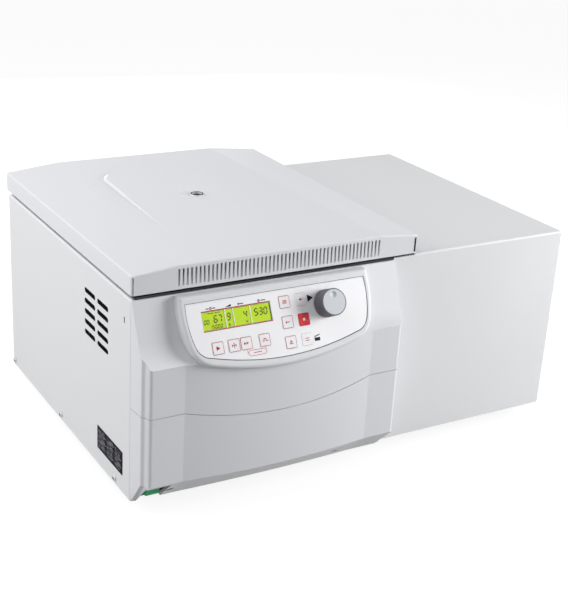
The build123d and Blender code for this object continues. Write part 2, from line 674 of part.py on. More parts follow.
def below_seam(offset):
    """Everything under the curved joint between the two mouldings."""
    high = SEAM_Z + offset
    low = high - SEAM_DIP
    left, right = PANEL_MID - BELLY_HALF, PANEL_MID + BELLY_HALF
    edges = Polyline((-5, -90, -5), (-5, -90, high), (left, -90, high)).edges()
    edges += ThreePointArc((left, -90, high), (PANEL_MID, -90, low), (right, -90, high)).edges()
    edges += Polyline((right, -90, high), (PANEL_W + 5, -90, high), (PANEL_W + 5, -90, -5), (-5, -90, -5)).edges()
    return extrude(make_face(edges), amount=110, dir=(0, 1, 0))


def pocket_cut(inset):
    """Space in front of the scooped pockets, above the ledge."""
    slope_y, slope_z = POCKET_LOW
    top = (POCKET_TOP_Y + inset, CASING_TOP + 1)
    low = (slope_y + inset, slope_z)
    lip = (FRONT_Y - 1.0, LEDGE_Z - inset)
    edges = Line((0, *top), (0, *low)).edges()
    edges += TangentArc((0, *low), (0, *lip), tangent=(0, low[0] - top[0], low[1] - top[1])).edges()
    edges += Polyline((0, *lip), (0, -100, lip[1]), (0, -100, top[1]), (0, *top)).edges()
    return Pos(-5, 0, 0) * extrude(make_face(edges), amount=PANEL_W + 10, dir=(1, 0, 0))


def console_outline(inset, drop=0.0):
    """Front view of the console, looking along Y: straight top, bowed sides, curved lower edge."""
    half, top = CONSOLE_HALF, CONSOLE_TOP
    upper = [(half, top), (half + 1.8, top - 25.6), (half - 4.0, top - 59.6)]
    lower = [upper[-1], (half - 12.5, top - 73.1 - drop / 2), (half - 30.0, top - 81.1 - drop)]
    edges = Line((PANEL_MID - half, 0, top), (PANEL_MID + half, 0, top)).edges()
    for side in (1, -1):
        for arc in (upper, lower):
            edges += ThreePointArc(*[(PANEL_MID + side * x, 0, z) for x, z in arc]).edges()
    foot_x, foot_z = lower[-1]
    edges += ThreePointArc((PANEL_MID + foot_x, 0, foot_z), (PANEL_MID, 0, top - 94.8 - drop),
                           (PANEL_MID - foot_x, 0, foot_z)).edges()
    face = make_face(edges)
    return offset(face, amount=-inset, kind=Kind.INTERSECTION) if inset else face


def console_form(inset, back):
    """Block behind the slanted console face, moved in by inset, reaching back to the depth back."""
    prism = Pos(0, -100, 0) * extrude(console_outline(inset, BEZEL_DROP), amount=100 + back, dir=(0, 1, 0))
    slab = CONSOLE_PLANE * Pos(0, 0, -inset) * extrude(Rectangle(600, 400), amount=200)
    return prism - slab


def console_block():
    form = console_form(0.0, -4.0)
    face = form.faces().filter_by(lambda f: f.normal_at().dot(Vector(*FACE_NORMAL)) > 0.99)[0]
    return fillet(face.edges(), CONSOLE_EDGE_R)


def upright_edges(form, place):
    """Upright edges at a place on the left of the front moulding, and at its mirror image."""
    x, y = place
    return form.edges().filter_by(Axis.Z).filter_by(
        lambda e: min(abs(e.center().X - x), abs(e.center().X - PANEL_W + x)) < 0.1 and abs(e.center().Y - y) < 0.1)


def soft_front(form):
    """The front with its shoulders, steps and cheeks rounded."""
    for place, radius in (((SHOULDER_X, FRONT_Y), SHOULDER_R), (STEP, STEP_R), (CHEEK, CHEEK_R)):
        form = fillet(upright_edges(form, place), radius)
    return form


def inner_front(high):
    """Hollow behind the front mouldings below the ledge."""
    wall = MOULD
    plan = front_outline(CHIN_Z + wall * 0.4, (CHEEK[0] + wall, CHEEK[1] + 1.2), (STEP[0] + wall, STEP[1] + 1.5),
                         SHOULDER_X + wall, FRONT_Y + wall, BELLY)
    foot = front_outline(wall * 1.4, (CHEEK[0] + wall, FOOT_Y + 3.6), (STEP[0] + wall, FOOT_Y + 3.4),
                         SHOULDER_X + wall, FOOT_Y + wall, FOOT_BELLY)
    side = block((wall, PANEL_W - wall), (-100, 40), (-10, 400))
    lower = loft([foot, plan], ruled=True)
    upper = extrude(plan, amount=high - CHIN_Z - wall * 0.4, dir=(0, 0, 1))
    open_back = block((wall, PANEL_W - wall), (-2.5, 10), (wall * 1.4, CASING_TOP - wall))
    return (lower + upper + open_back) & side


def front_panel_lower():
    upper, lower = front_form()
    outer = soft_front(upper)
    whole = (outer + lower) & below_seam(-SEAM / 2)
    whole -= inner_front(SEAM_Z + 5)
    whole -= block(NOTCH_X, (-100, 5), NOTCH_Z)
    for x in ACCESS_X:
        whole -= Pos(x, FRONT_Y / 2, ACCESS_Z) * Box(ACCESS[0], -FRONT_Y, ACCESS[1])
    return whole


def front_panel_upper():
    upper, lower = front_form()
    outer = soft_front(upper)
    body = outer - pocket_cut(0.0) - below_seam(SEAM / 2)
    hollow = inner_front(CASING_TOP - MOULD) - pocket_cut(MOULD)
    console = console_block()
    cavity = console_form(MOULD, 10.0) & block((0, PANEL_W), (-90, 10), (0, CASING_TOP - MOULD))
    panel = body + console - hollow - cavity
    for x, y in BOSSES_AT:
        panel += console_rod(x, y, BOSS_R, -BOARD_DEPTH, -RECESS - 0.5)
    return panel - console_recess() - console_openings()


def console_recess():
    """Recess that the foil lies in, with a deeper groove along its edge."""
    whole, within = (Pos(0, -100, 0) * extrude(console_outline(inset), amount=120, dir=(0, 1, 0))
                     for inset in (BEZEL_W, BEZEL_W + GROOVE[0]))
    floor, bottom = (CONSOLE_PLANE * Pos(0, 0, -depth) * extrude(Rectangle(600, 400), amount=60)
                     for depth in (RECESS, RECESS + GROOVE[1]))
    return (whole & floor) + ((whole - within) & bottom)


def key_places():
    """Name and place of every key on the console face."""
    grid = [(x, y) for y in KEY_GRID_Y for x in KEY_GRID_X]
    names = ["key_clear", "key_exit", "key_select", "key_stop", "key_save", "key_open"]
    row = [(x, KEY_ROW_Y) for x in KEY_ROW_X]
    row_names = ["key_start", "key_fast_cool", "key_prerun", "key_pulse"]
    return dict(zip(names + row_names, grid + row))


def window_size(inset):
    """Width and height of the display window, every edge moved in by inset."""
    return tuple(side - 2 * inset for side in WINDOW)


def console_openings():
    """Holes through the console wall for keys, display window and encoder."""
    cuts = [console_slab(x, y, (KEY + 2 * KEY_CLEAR,) * 2, -8, 3, 1.8) for x, y in key_places().values()]
    cuts.append(console_slab(*WINDOW_MID, window_size(WINDOW_LEDGE), -8, 3))
    cuts.append(console_rod(*KNOB_AT, 4.6, -8, 3))
    return cuts


def keypad_overlay():
    """White foil in the recess, with windows for the keys, the display and the knob's shaft."""
    outline = console_outline(BEZEL_W + FOIL_GAP)
    prism = Pos(0, -100, 0) * extrude(outline, amount=120, dir=(0, 1, 0))
    foil = prism & (CONSOLE_PLANE * Pos(0, 0, -RECESS) * extrude(Rectangle(600, 400), amount=OVERLAY_T))
    windows = [console_slab(x, y, (KEY + 2 * KEY_CLEAR,) * 2, -8, 3, 1.8) for x, y in key_places().values()]
    windows.append(console_slab(*WINDOW_MID, window_size(-GAP / 2), -8, 3))
    windows.append(console_rod(*KNOB_AT, 4.6, -8, 3))
    return foil - windows


def display_window():
    """Clear window that lies flush with the foil."""
    return console_slab(*WINDOW_MID, WINDOW, -RECESS, -RECESS + OVERLAY_T)


def display_module():
    """Liquid crystal panel behind the window."""
    return console_slab(*WINDOW_MID, window_size(WINDOW_LEDGE + GAP), -BOARD_DEPTH, -RECESS - 0.1)


def key_solid(x, y):
    top = -RECESS + OVERLAY_T + KEY_PROUD
    return console_slab(x, y, (KEY, KEY), top - KEY_T, top, 1.6)


def control_board():
    """Board behind the console with a switch under every key."""
    board = console_slab(*BOARD_MID, BOARD, -BOARD_DEPTH - BOARD_T, -BOARD_DEPTH)
    board -= console_rod(*KNOB_AT, 9.0, -BOARD_DEPTH - 5, -BOARD_DEPTH + 5)
    switch_top = -RECESS + OVERLAY_T + KEY_PROUD - KEY_T - KEY_TRAVEL - 0.2
    for x, y in key_places().values():
        board += console_slab(x, y, (6, 6), -BOARD_DEPTH - 0.1, switch_top)
    return board


def encoder():
    """Rotary encoder that reads the knob: threaded neck and shoulder at the console wall, body behind it."""
    neck = console_rod(*KNOB_AT, 4.4, -BOARD_DEPTH, -RECESS + 0.3)
    shoulder = console_rod(*KNOB_AT, 7.0, -BOARD_DEPTH, -MOULD)
    body = console_slab(*KNOB_AT, (12.5, 12.5), -BOARD_DEPTH - 7.0, -BOARD_DEPTH + 0.1)
    return neck + shoulder + body - console_rod(*KNOB_AT, ENCODER_SHAFT_R + RUNNING, -BOARD_DEPTH - 5, 3)


def encoder_shaft():
    return console_rod(*KNOB_AT, ENCODER_SHAFT_R, -BOARD_DEPTH - 4.5, KNOB_H - 8)


def control_knob():
    """Fluted skirt with a bore for the encoder shaft and a seat for the cap."""
    low = -RECESS + OVERLAY_T + 1.0
    skirt = on_console(*KNOB_AT, -low) * extrude(Circle(KNOB_R), amount=KNOB_H - low, taper=1.5)
    for i in range(KNOB_FLUTES):
        turn = radians(360 / KNOB_FLUTES * i)
        skirt -= console_rod(KNOB_AT[0] + KNOB_R * cos(turn), KNOB_AT[1] + KNOB_R * sin(turn),
                             FLUTE_R, low - 1, KNOB_H - 2)
    skirt -= console_rod(*KNOB_AT, KNOB_CAP_R, KNOB_H - 3, KNOB_H + 1)
    skirt -= console_rod(*KNOB_AT, KNOB_R - 4, low - 1, low + 6)
    return skirt - console_rod(*KNOB_AT, ENCODER_SHAFT_R, -3, KNOB_H - 8)


def knob_cap():
    """Light cap with a finger dimple near its rim."""
    cap = console_rod(*KNOB_AT, KNOB_CAP_R - 0.05, KNOB_H - 3, KNOB_H + 0.4)
    dimple = on_console(KNOB_AT[0], KNOB_AT[1] + 10.0, -(KNOB_H + 6.0)) * Sphere(7.5)
    return cap - dimple


# ---- chamber ----------------------------------------------------------------------------------
def chamber_bowl():
    """Wall of the bowl: a flange round its mouth, and a bend at its foot that the floor is welded to."""
    t = BOWL_T
    floor, rim = BOWL_FLOOR, CASING_TOP
    outer = rod(*AXIS, (floor - t, rim + t), BOWL_R + t)
    outer = fillet(outer.edges().sort_by(Axis.Z)[0], BOWL_BEND_R + t)
    inner = rod(*AXIS, (floor, rim + 20), BOWL_R)
    inner = fillet(inner.edges().sort_by(Axis.Z)[0], BOWL_BEND_R)
    flange = tube(*AXIS, (rim, rim + t), BOWL_R + FLANGE_W, BOWL_R)
    return outer + flange - inner - rod(*AXIS, (floor - 2 * t, floor + 1), BOWL_R - BOWL_BEND_R)


def bowl_floor():
    """Floor of the bowl with a collar round the shaft, welded inside the bend of the wall."""
    disc = tube(*AXIS, (BOWL_FLOOR - BOWL_T, BOWL_FLOOR), BOWL_R - BOWL_BEND_R, COLLAR_R - BOWL_T)
    return disc + tube(*AXIS, (BOWL_FLOOR - BOWL_T, BOWL_FLOOR + COLLAR_H), COLLAR_R, COLLAR_R - BOWL_T)


def chamber_gasket():
    """Rubber ring on the flange that seals against the lid's inner plate."""
    low = CASING_TOP + BOWL_T
    ring = tube(*AXIS, (low, low + GASKET_H), GASKET_R + GASKET_W, GASKET_R)
    return chamfer(ring.edges().filter_by(GeomType.CIRCLE).sort_by(Axis.Z)[-2:], 1.4)


def coil_heights():
    first = BOWL_FLOOR + BOWL_BEND_R + 6
    turns = int((CASING_TOP - 25 - first) / COIL_PITCH) + 1
    return [first + i * COIL_PITCH for i in range(turns)]


def cooling_coil():
    """Turns of flattened evaporator tube soldered to the bowl."""
    depth, high = COIL
    wall = BOWL_R + BOWL_T
    section = Polyline((wall, -high / 2), (wall + depth - COIL_CORNER, -high / 2),
                       (wall + depth, -high / 2 + COIL_CORNER), (wall + depth, high / 2 - COIL_CORNER),
                       (wall + depth - COIL_CORNER, high / 2), (wall, high / 2), close=True)
    turn = revolve(Plane.XZ * make_face(section), Axis.Z)
    return solids_of(*[Pos(*AXIS, z) * turn for z in coil_heights()])


def bowl_insulation():
    """Foam shell round the bowl and its coil."""
    shell = tube(*AXIS, (FOAM_BOTTOM, CASING_TOP - SHEET), FOAM_R, BOWL_R + BOWL_T + COIL[0])
    floor = tube(*AXIS, (FOAM_BOTTOM, BOWL_FLOOR - BOWL_T), FOAM_R, COLLAR_R + 2)
    front = block((0, LID_W), (-20, STRIKER_Y + 32), (LOCK_BAR_Z - 24, CASING_TOP))
    return shell + floor - front


# ---- motor and rotor --------------------------------------------------------------------------
def motor_body():
    """Induction motor: finned can, end shield with neck, and a foot flange on its mounts."""
    low, high = MOTOR_Z
    can = rod(*AXIS, (low + 6, high - 8), MOTOR_R)
    fins = 12
    fin = Pos(MOTOR_R + 1.5, 0, 0) * Box(5, 2.5, high - low - 24)
    for i in range(fins):
        can += Pos(*AXIS, (low + high) / 2) * Rot(0, 0, 360 / fins * i) * fin
    can += rod(*AXIS, (low, low + 7), MOTOR_R + 18)
    can += rod(*AXIS, (high - 9, high), MOTOR_R - 14)
    can += rod(*AXIS, (high - 1, high + 16), SHAFT_R + 7)
    return can - rod(*AXIS, (low + 4, high + 20), SHAFT_R + RUNNING)


def motor_mount_places():
    spread = MOTOR_R + 9.0
    return [(AXIS[0] + spread * cos(radians(a)), AXIS[1] + spread * sin(radians(a))) for a in (30, 150, 270)]


def compressor_mount_places():
    x, y = COMPRESSOR_AT
    spread = COMPRESSOR_R + 10
    return [(x + i * spread * 0.75, y + j * spread * 0.75) for i in (-1, 1) for j in (-1, 1)]


def vibration_mounts():
    """Rubber mounts between the base plate and the motor, and under the compressor."""
    low = BASE_T
    mounts = [rod(x, y, (low, MOTOR_Z[0]), 9.0) for x, y in motor_mount_places()]
    mounts += [rod(x, y, (low, low + 16), 9.0) for x, y in compressor_mount_places()]
    return solids_of(*mounts)


def motor_shaft():
    """Drive shaft from the motor up to a shoulder and spigot that carry the yoke."""
    low = MOTOR_Z[0] + 6
    shaft = rod(*AXIS, (low, HUB_Z[0]), SHAFT_R)
    shaft += rod(*AXIS, (HUB_Z[0] - 8, HUB_Z[0]), SHAFT_R + 6)
    return shaft + rod(*AXIS, (HUB_Z[0], HUB_Z[1] + NUT_H - 3), SHAFT_R - 2)


def rotor_yoke():
    """H-shaped yoke: a hub, a cross web and two beams with the trunnion bores."""
    hub = rod(*AXIS, HUB_Z, HUB_R)
    outer_y = BEAM_Y + BEAM_T
    web = Pos(*AXIS, ROTOR_Z - 5) * Box(30, 2 * outer_y, BEAM_H)
    web = web + hub
    for side in (-1, 1):
        y = AXIS[1] + side * (BEAM_Y + BEAM_T / 2)
        beam = Pos(AXIS[0], y, ROTOR_Z) * Box(2 * BEAM_HALF, BEAM_T, BEAM_H)
        beam = fillet(beam.edges().filter_by(Axis.Y), BEAM_H * 0.42)
        web += beam
    web -= [Pos(AXIS[0] + i * PIVOT_X * 0.5, AXIS[1], ROTOR_Z) * Rot(90, 0, 0) * Cylinder(6.0, 4 * outer_y)
            for i in (-1, 1)]
    for x in (-PIVOT_X, PIVOT_X):
        web -= back_rod(AXIS[0] + x, (AXIS[1] - 2 * outer_y, AXIS[1] + 2 * outer_y), ROTOR_Z, TRUNNION_R)
    return web - rod(*AXIS, (HUB_Z[0] - 1, HUB_Z[1] + 1), SHAFT_R - 2)


def trunnion_pins():
    """Four pins fixed in the beams; the bucket ears hang on them."""
    outer_y = BEAM_Y + BEAM_T
    inner_y = BUCKET_HALF_Y - 0.2
    pins = []
    for x in (-PIVOT_X, PIVOT_X):
        for side in (-1, 1):
            ends = sorted((AXIS[1] + side * inner_y, AXIS[1] + side * outer_y))
            pins.append(back_rod(AXIS[0] + x, ends, ROTOR_Z, TRUNNION_R))
    return solids_of(*pins)


def rotor_nut():
    """Finger nut with grip lobes that holds the yoke on the shaft."""
    nut = rod(*AXIS, (HUB_Z[1], HUB_Z[1] + NUT_H), NUT_R)
    lobes = 8
    for i in range(lobes):
        turn = radians(360 / lobes * i)
        nut -= rod(AXIS[0] + (NUT_R + 1) * cos(turn), AXIS[1] + (NUT_R + 1) * sin(turn),
                   (HUB_Z[1] + 4, HUB_Z[1] + NUT_H + 1), 3.2)
    return nut - rod(*AXIS, (HUB_Z[1] - 1, HUB_Z[1] + NUT_H - 3), SHAFT_R - 2)


def plate_bucket(side):
    """Open carrier for microplates, hanging from two ears."""
    x = AXIS[0] + side * PIVOT_X
    half_x, half_y = BUCKET_HALF_X, BUCKET_HALF_Y
    low, rim = ROTOR_Z + BUCKET_BOTTOM, ROTOR_Z + BUCKET_RIM
    tray = block((x - half_x, x + half_x), (AXIS[1] - half_y, AXIS[1] + half_y), (low, rim))
    tray = fillet(tray.edges().filter_by(Axis.Z) + tray.faces().sort_by(Axis.Z)[0].edges(), 5.0)
    cavity = block((x - half_x + BUCKET_T, x + half_x - BUCKET_T),
                   (AXIS[1] - half_y + BUCKET_T, AXIS[1] + half_y - BUCKET_T), (low + BUCKET_T, rim + 1))
    tray -= cavity
    for way in (-1, 1):
        inner = half_y - BUCKET_T
        outer = BEAM_Y - EAR_CLEAR
        ends = sorted((AXIS[1] + way * inner, AXIS[1] + way * outer))
        ear = block((x - 14, x + 14), ends, (low + 12, ROTOR_Z))
        ear += back_rod(x, ends, ROTOR_Z, 14.0)
        tray += ear - block((x - 30, x + 30), sorted((AXIS[1], AXIS[1] + way * inner)), (low, ROTOR_Z + 20))
        bore = sorted((AXIS[1] + way * (inner - 1), AXIS[1] + way * (outer + 1)))
        tray -= back_rod(x, bore, ROTOR_Z, TRUNNION_R + RUNNING)
    return tray


# ---- lid lock ---------------------------------------------------------------------------------
def lock_frame():
    """Channel under the casing top that guides the lock bar, with the gear motor at its end."""
    span = STRIKER_SPAN + 45
    low, high = LOCK_BAR_Z - FINGER[0] / 2 - 3.0, CASING_TOP - SHEET
    motor_x = (LID_MID + span - 2, LID_MID + span + 42)
    channel = block((LID_MID - span, motor_x[1]), (STRIKER_Y + 13, STRIKER_Y + 29), (low - 2, high))
    channel -= block((LID_MID - span - 1, motor_x[1] + 1), (STRIKER_Y + 12, STRIKER_Y + 27), (low, high - 2))
    radius = LOCK_BAR_Z - low
    gearbox = block((motor_x[0], motor_x[0] + 14), (STRIKER_Y + 14, STRIKER_Y + 27), (low, low + 2 * radius))
    motor = cross_rod((motor_x[0] + 13, motor_x[1]), STRIKER_Y + 14 + radius, LOCK_BAR_Z, radius)
    return solids_of(channel, gearbox + motor)


def lock_bar():
    """Sliding bar with a finger for each striker."""
    span = STRIKER_SPAN + 38
    bar = block((LID_MID - span, LID_MID + span - 14), (STRIKER_Y + 14.5, STRIKER_Y + 20.5),
                (LOCK_BAR_Z - 4.5, LOCK_BAR_Z + 4.5))
    for x in striker_places():
        start = x - 4.0 - LOCK_TRAVEL
        carrier = block((start - 6, start), (STRIKER_Y - FINGER[1] / 2, STRIKER_Y + 15),
                        (LOCK_BAR_Z - FINGER[0] / 2, LOCK_BAR_Z + FINGER[0] / 2))
        finger = block((start - 1, start + LOCK_TRAVEL), (STRIKER_Y - FINGER[1] / 2, STRIKER_Y + FINGER[1] / 2),
                       (LOCK_BAR_Z - FINGER[0] / 2, LOCK_BAR_Z + FINGER[0] / 2))
        bar += carrier + finger
    return bar


# ---- electrical fittings ----------------------------------------------------------------------
def mains_inlet():
    """Appliance inlet with its flange outside the rear wall and three blades."""
    x, z = INLET_AT
    wide, high = INLET
    shell = block((x - wide / 2, x + wide / 2), (CASING_REAR - 24, CASING_REAR + 0.5), (z - high / 2, z + high / 2))
    shell += block((x - wide / 2 - 8, x + wide / 2 + 8), (CASING_REAR + 0.05, CASING_REAR + 3),
                   (z - high / 2 - 3, z + high / 2 + 3))
    shell -= block((x - wide / 2 + 2, x + wide / 2 - 2), (CASING_REAR - 18, CASING_REAR + 5),
                   (z - high / 2 + 2, z + high / 2 - 2))
    for dx, dz in ((-7, -2), (7, -2), (0, 2)):
        shell += block((x + dx - 1, x + dx + 1), (CASING_REAR - 19, CASING_REAR - 4), (z + dz - 2, z + dz + 2))
    return shell


def switch_frame():
    """Bezel of the mains switch in the rear wall."""
    x, z = SWITCH_AT
    wide, high = SWITCH
    frame = block((x - wide / 2, x + wide / 2), (CASING_REAR - 16, CASING_REAR + 0.5), (z - high / 2, z + high / 2))
    frame += block((x - wide / 2 - 2, x + wide / 2 + 2), (CASING_REAR + 0.05, CASING_REAR + 2.5),
                   (z - high / 2 - 2, z + high / 2 + 2))
    frame -= block((x - wide / 2 + 2.5, x + wide / 2 - 2.5), (CASING_REAR - 14, CASING_REAR + 5),
                   (z - high / 2 + 2.5, z + high / 2 - 2.5))
    reach = wide / 2 - 2.5 + ROCKER_PIN_L + SCREW_PLAY
    return frame - cross_rod((x - reach, x + reach), CASING_REAR - ROCKER_AXIS, z, ROCKER_PIN_R + RUNNING)


def power_rocker():
    """Rocker of the mains switch on its two trunnions, tipped to its off side."""
    x, z = SWITCH_AT
    wide, high = SWITCH[0] - 6.0, SWITCH[1] - 7.5
    paddle = block((x - wide / 2, x + wide / 2), (CASING_REAR - 3, CASING_REAR + 3.2), (z - high / 2, z + high / 2))
    paddle -= Pos(x, CASING_REAR + 22.0, z) * Rot(0, 90, 0) * Cylinder(20.4, wide + 2)
    axis_y = CASING_REAR - ROCKER_AXIS
    reach = SWITCH[0] / 2 - 2.5 + ROCKER_PIN_L
    paddle += cross_rod((x - wide / 2, x + wide / 2), axis_y, z, 2.5)
    paddle += cross_rod((x - reach, x + reach), axis_y, z, ROCKER_PIN_R)
    pivot = Pos(x, axis_y, z)
    return pivot * Rot(ROCKER_TILT / 2, 0, 0) * pivot.inverse() * paddle


def drive_module():
    """Inverter on the base plate: a housing with cooling ribs."""
    x, y = (26.0, 120.0), (330.0, 450.0)
    module = block(x, y, (BASE_T, BASE_T + 46))
    ribs = 9
    pitch = (y[1] - y[0] - 8) / (ribs - 1)
    for i in range(ribs):
        module += block(x, (y[0] + 2.5 + i * pitch, y[0] + 5 + i * pitch), (BASE_T + 45, BASE_T + 58))
    return module


# ---- drip tray --------------------------------------------------------------------------------
def drip_tray():
    """Narrow pull-out tray for melt water, with a grip across its front."""
    x = (TRAY_X, TRAY_X + TRAY_W)
    rear = TRAY_FRONT + TRAY_L
    tray = block(x, (TRAY_BODY, rear), (TRAY_Z[0], TRAY_Z[1] - 1))
    tray -= block((x[0] + TRAY_T, x[1] - TRAY_T), (TRAY_BODY + TRAY_T, rear - TRAY_T),
                  (TRAY_Z[0] + TRAY_T, TRAY_Z[1] + 1))
    neck = block(x, (TRAY_FRONT + GRIP_T - 1, TRAY_BODY + TRAY_T), (GRIP_Z[0], TRAY_Z[1] - 1))
    grip = block(x, (TRAY_FRONT, TRAY_FRONT + GRIP_T), GRIP_Z)
    grip = fillet(grip.edges().filter_by(Axis.Z).sort_by(Axis.Y)[:2], 2.5)
    return tray + neck + grip


# ---- refrigeration unit -----------------------------------------------------------------------
def suction_port():
    return COMPRESSOR_AT[0] - 40, COMPRESSOR_AT[1] + 30


def discharge_port():
    return COMPRESSOR_AT[0] + 30, COMPRESSOR_AT[1] - 30


def compressor():
    """Hermetic can with a domed top, a mid seam and a mounting plate."""
    x, y = COMPRESSOR_AT
    low = BASE_T + 16
    can = rod(x, y, (low + 2, low + COMPRESSOR_H), COMPRESSOR_R)
    can = fillet(can.edges().sort_by(Axis.Z)[-1], 34.0)
    can += tube(x, y, (low + 88, low + 93), COMPRESSOR_R + 3, COMPRESSOR_R - 2)
    side = COMPRESSOR_R + 4
    can += block((x - side, x + side), (y - side, y + side), (low, low + 3))
    top = low + COMPRESSOR_H
    for (port_x, port_y), radius in ((suction_port(), SUCTION_R), (discharge_port(), DISCHARGE_R)):
        can -= rod(port_x, port_y, (top - 7, top + 1), radius + 0.1)
    return can


def condenser():
    """Flat-tube condenser: two round headers, level tubes between them, upright fins and a foot."""
    (x0, x1), (y0, y1), (z0, z1) = CONDENSER_X, CONDENSER_Y, CONDENSER_Z
    middle = (x0 + x1) / 2
    stack = rod(middle, y0 + HEADER_R, (z0, z1), HEADER_R) + rod(middle, y1 - HEADER_R, (z0, z1), HEADER_R)
    rise = (z1 - z0) / CONDENSER_TUBES
    for i in range(CONDENSER_TUBES):
        z = z0 + (i + 0.5) * rise
        stack += block((x0 + 4, x1 - 4), (y0 + HEADER_R, y1 - HEADER_R), (z - 1.5, z + 1.5))
    pitch = (y1 - y0 - 4 * HEADER_R) / (CONDENSER_FINS - 1)
    for i in range(CONDENSER_FINS):
        y = y0 + 2 * HEADER_R + i * pitch
        stack += block((x0, x1), (y - 0.5, y + 0.5), (z0, z1))
    return stack + block((x0, x1), (y0, y1), (BASE_T, z0 + 2))


def fan_centre():
    return ((CONDENSER_Y[0] + CONDENSER_Y[1]) / 2, (CONDENSER_Z[0] + CONDENSER_Z[1]) / 2)


def fan_frame():
    """Square shroud with a round duct and a motor on three spokes; the motor's shaft carries the wheel."""
    y, z = fan_centre()
    x1 = CONDENSER_X[0]
    x0 = x1 - FAN_DEPTH
    half = FAN_R + 12
    frame = block((x0, x1), (y - half, y + half), (z - half, z + half))
    frame -= cross_rod((x0 - 1, x1 + 1), y, z, FAN_R + 3)
    for angle in (90, 210, 330):
        reach = FAN_R + 8
        middle = (reach / 2 * cos(radians(angle)), reach / 2 * sin(radians(angle)))
        frame += Pos(x0 + 2, y + middle[0], z + middle[1]) * Rot(angle, 0, 0) * Box(4, reach, 6)
    return frame + cross_rod((x0, x0 + 6), y, z, 22) + cross_rod((x0, x1 - 6), y, z, FAN_SHAFT_R)


def fan_blades():
    """Axial impeller with twisted blades on a hub."""
    y, z = fan_centre()
    x = CONDENSER_X[0] - FAN_DEPTH / 2 + 3.0
    wheel = cross_rod((x - 6, x + 6), y, z, 20)
    for i in range(FAN_BLADES):
        blade = Pos(0, (FAN_R + 16) / 2, 0) * Rot(0, 32, 0) * Box(1.6, FAN_R - 18, 26)
        wheel += Pos(x, y, z) * Rot(360 / FAN_BLADES * i, 0, 0) * blade
    return wheel - cross_rod((x - 7, x + 4), y, z, FAN_SHAFT_R + RUNNING)


def pipe(points, radius, bend):
    """Round tube along straight runs joined by bends."""
    path = FilletPolyline(*points, radius=bend)
    start = Vector(*points[0])
    heading = (Vector(*points[1]) - start).normalized()
    return sweep(Plane(origin=start, z_dir=heading) * Circle(radius), path)


def copper_pipes():
    """Suction, discharge and liquid lines of the refrigeration circuit."""
    x, y = suction_port()
    top = BASE_T + 16 + COMPRESSOR_H
    hole_z = sum(PIPE_HOLE_Z) / 2
    suction = pipe([(x, y, top - 6), (x, y, top + 30), (CASING_W + 18, y, top + 30),
                    (CASING_W + 18, y, hole_z)], SUCTION_R, 14)
    x, y = discharge_port()
    far_x = sum(CONDENSER_X) / 2
    header_y = CONDENSER_Y[1] + 0.2
    far_y = header_y + 14
    discharge = pipe([(x, y, top - 6), (x, y, top + 22), (x, far_y, top + 22), (far_x, far_y, top + 22),
                      (far_x, far_y, CONDENSER_Z[1] - 60), (far_x, header_y, CONDENSER_Z[1] - 60)],
                     DISCHARGE_R, 9)
    liquid = pipe([(far_x, header_y, 40), (far_x, far_y, 40), (far_x - 70, far_y, 40),
                   (far_x - 70, far_y - 50, 40), (CASING_W + 30, far_y - 50, 40), (CASING_W + 30, far_y - 50, 110)],
                  DISCHARGE_R, 9)
    return solids_of(suction, discharge, liquid)


# ---- export -----------------------------------------------------------------------------------
def standing(shape):
    """The piece in its place on the finished machine."""
    return Compound([TO_ORIGIN * solid for solid in shape.solids()])


NODES = {
    "base_plate": base_plate(),
    "rubber_feet": rubber_feet(),
    "main_casing": main_casing(),
    "top_deck": top_deck(),
    "casing_screws": casing_screws(),
    "front_panel_upper": front_panel_upper(),
    "front_panel_lower": front_panel_lower(),
    "keypad_overlay": keypad_overlay(),
    "display_window": display_window(),
    "display_module": display_module(),
    "control_board": control_board(),
    "encoder": encoder(),
    "encoder_shaft": encoder_shaft(),
    "control_knob": control_knob(),
    "knob_cap": knob_cap(),
    "chamber_bowl": chamber_bowl(),
    "bowl_floor": bowl_floor(),
    "chamber_gasket": chamber_gasket(),
    "cooling_coil": cooling_coil(),
    "bowl_insulation": bowl_insulation(),
    "motor_body": motor_body(),
    "vibration_mounts": vibration_mounts(),
    "motor_shaft": motor_shaft(),
    "rotor_yoke": rotor_yoke(),
    "trunnion_pins": trunnion_pins(),
    "rotor_nut": rotor_nut(),
    "plate_bucket_left": plate_bucket(-1),
    "plate_bucket_right": plate_bucket(1),
    "lid_shell": lid_shell(),
    "lid_front_grille": lid_front_grille(),
    "lid_inner_plate": lid_inner_plate(),
    "port_ring": port_ring(),
    "port_glass": port_glass(),
    "lid_strikers": lid_strikers(),
    "hinge_arms": hinge_arms(),
    "hinge_brackets": hinge_brackets(),
    "hinge_pins": hinge_pins(),
    "lock_frame": lock_frame(),
    "lock_bar": lock_bar(),
    "mains_inlet": mains_inlet(),
    "switch_frame": switch_frame(),
    "power_rocker": power_rocker(),
    "drive_module": drive_module(),
    "drip_tray": drip_tray(),
    "refrigeration_cover": refrigeration_cover(),
    "compressor": compressor(),
    "condenser": condenser(),
    "fan_frame": fan_frame(),
    "fan_blades": fan_blades(),
    "copper_pipes": copper_pipes(),
}
NODES.update({name: key_solid(x, y) for name, (x, y) in key_places().items()})

os.makedirs("parts", exist_ok=True)
for name, shape in NODES.items():
    export_step(standing(shape), f"parts/{name}.step")
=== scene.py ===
"""Finish and small details of a refrigerated bench centrifuge, in metres, in the frame of its CAD model."""
import json
import math

import bmesh
import bpy
from mathutils import Matrix, Vector
from mathutils.geometry import convex_hull_2d


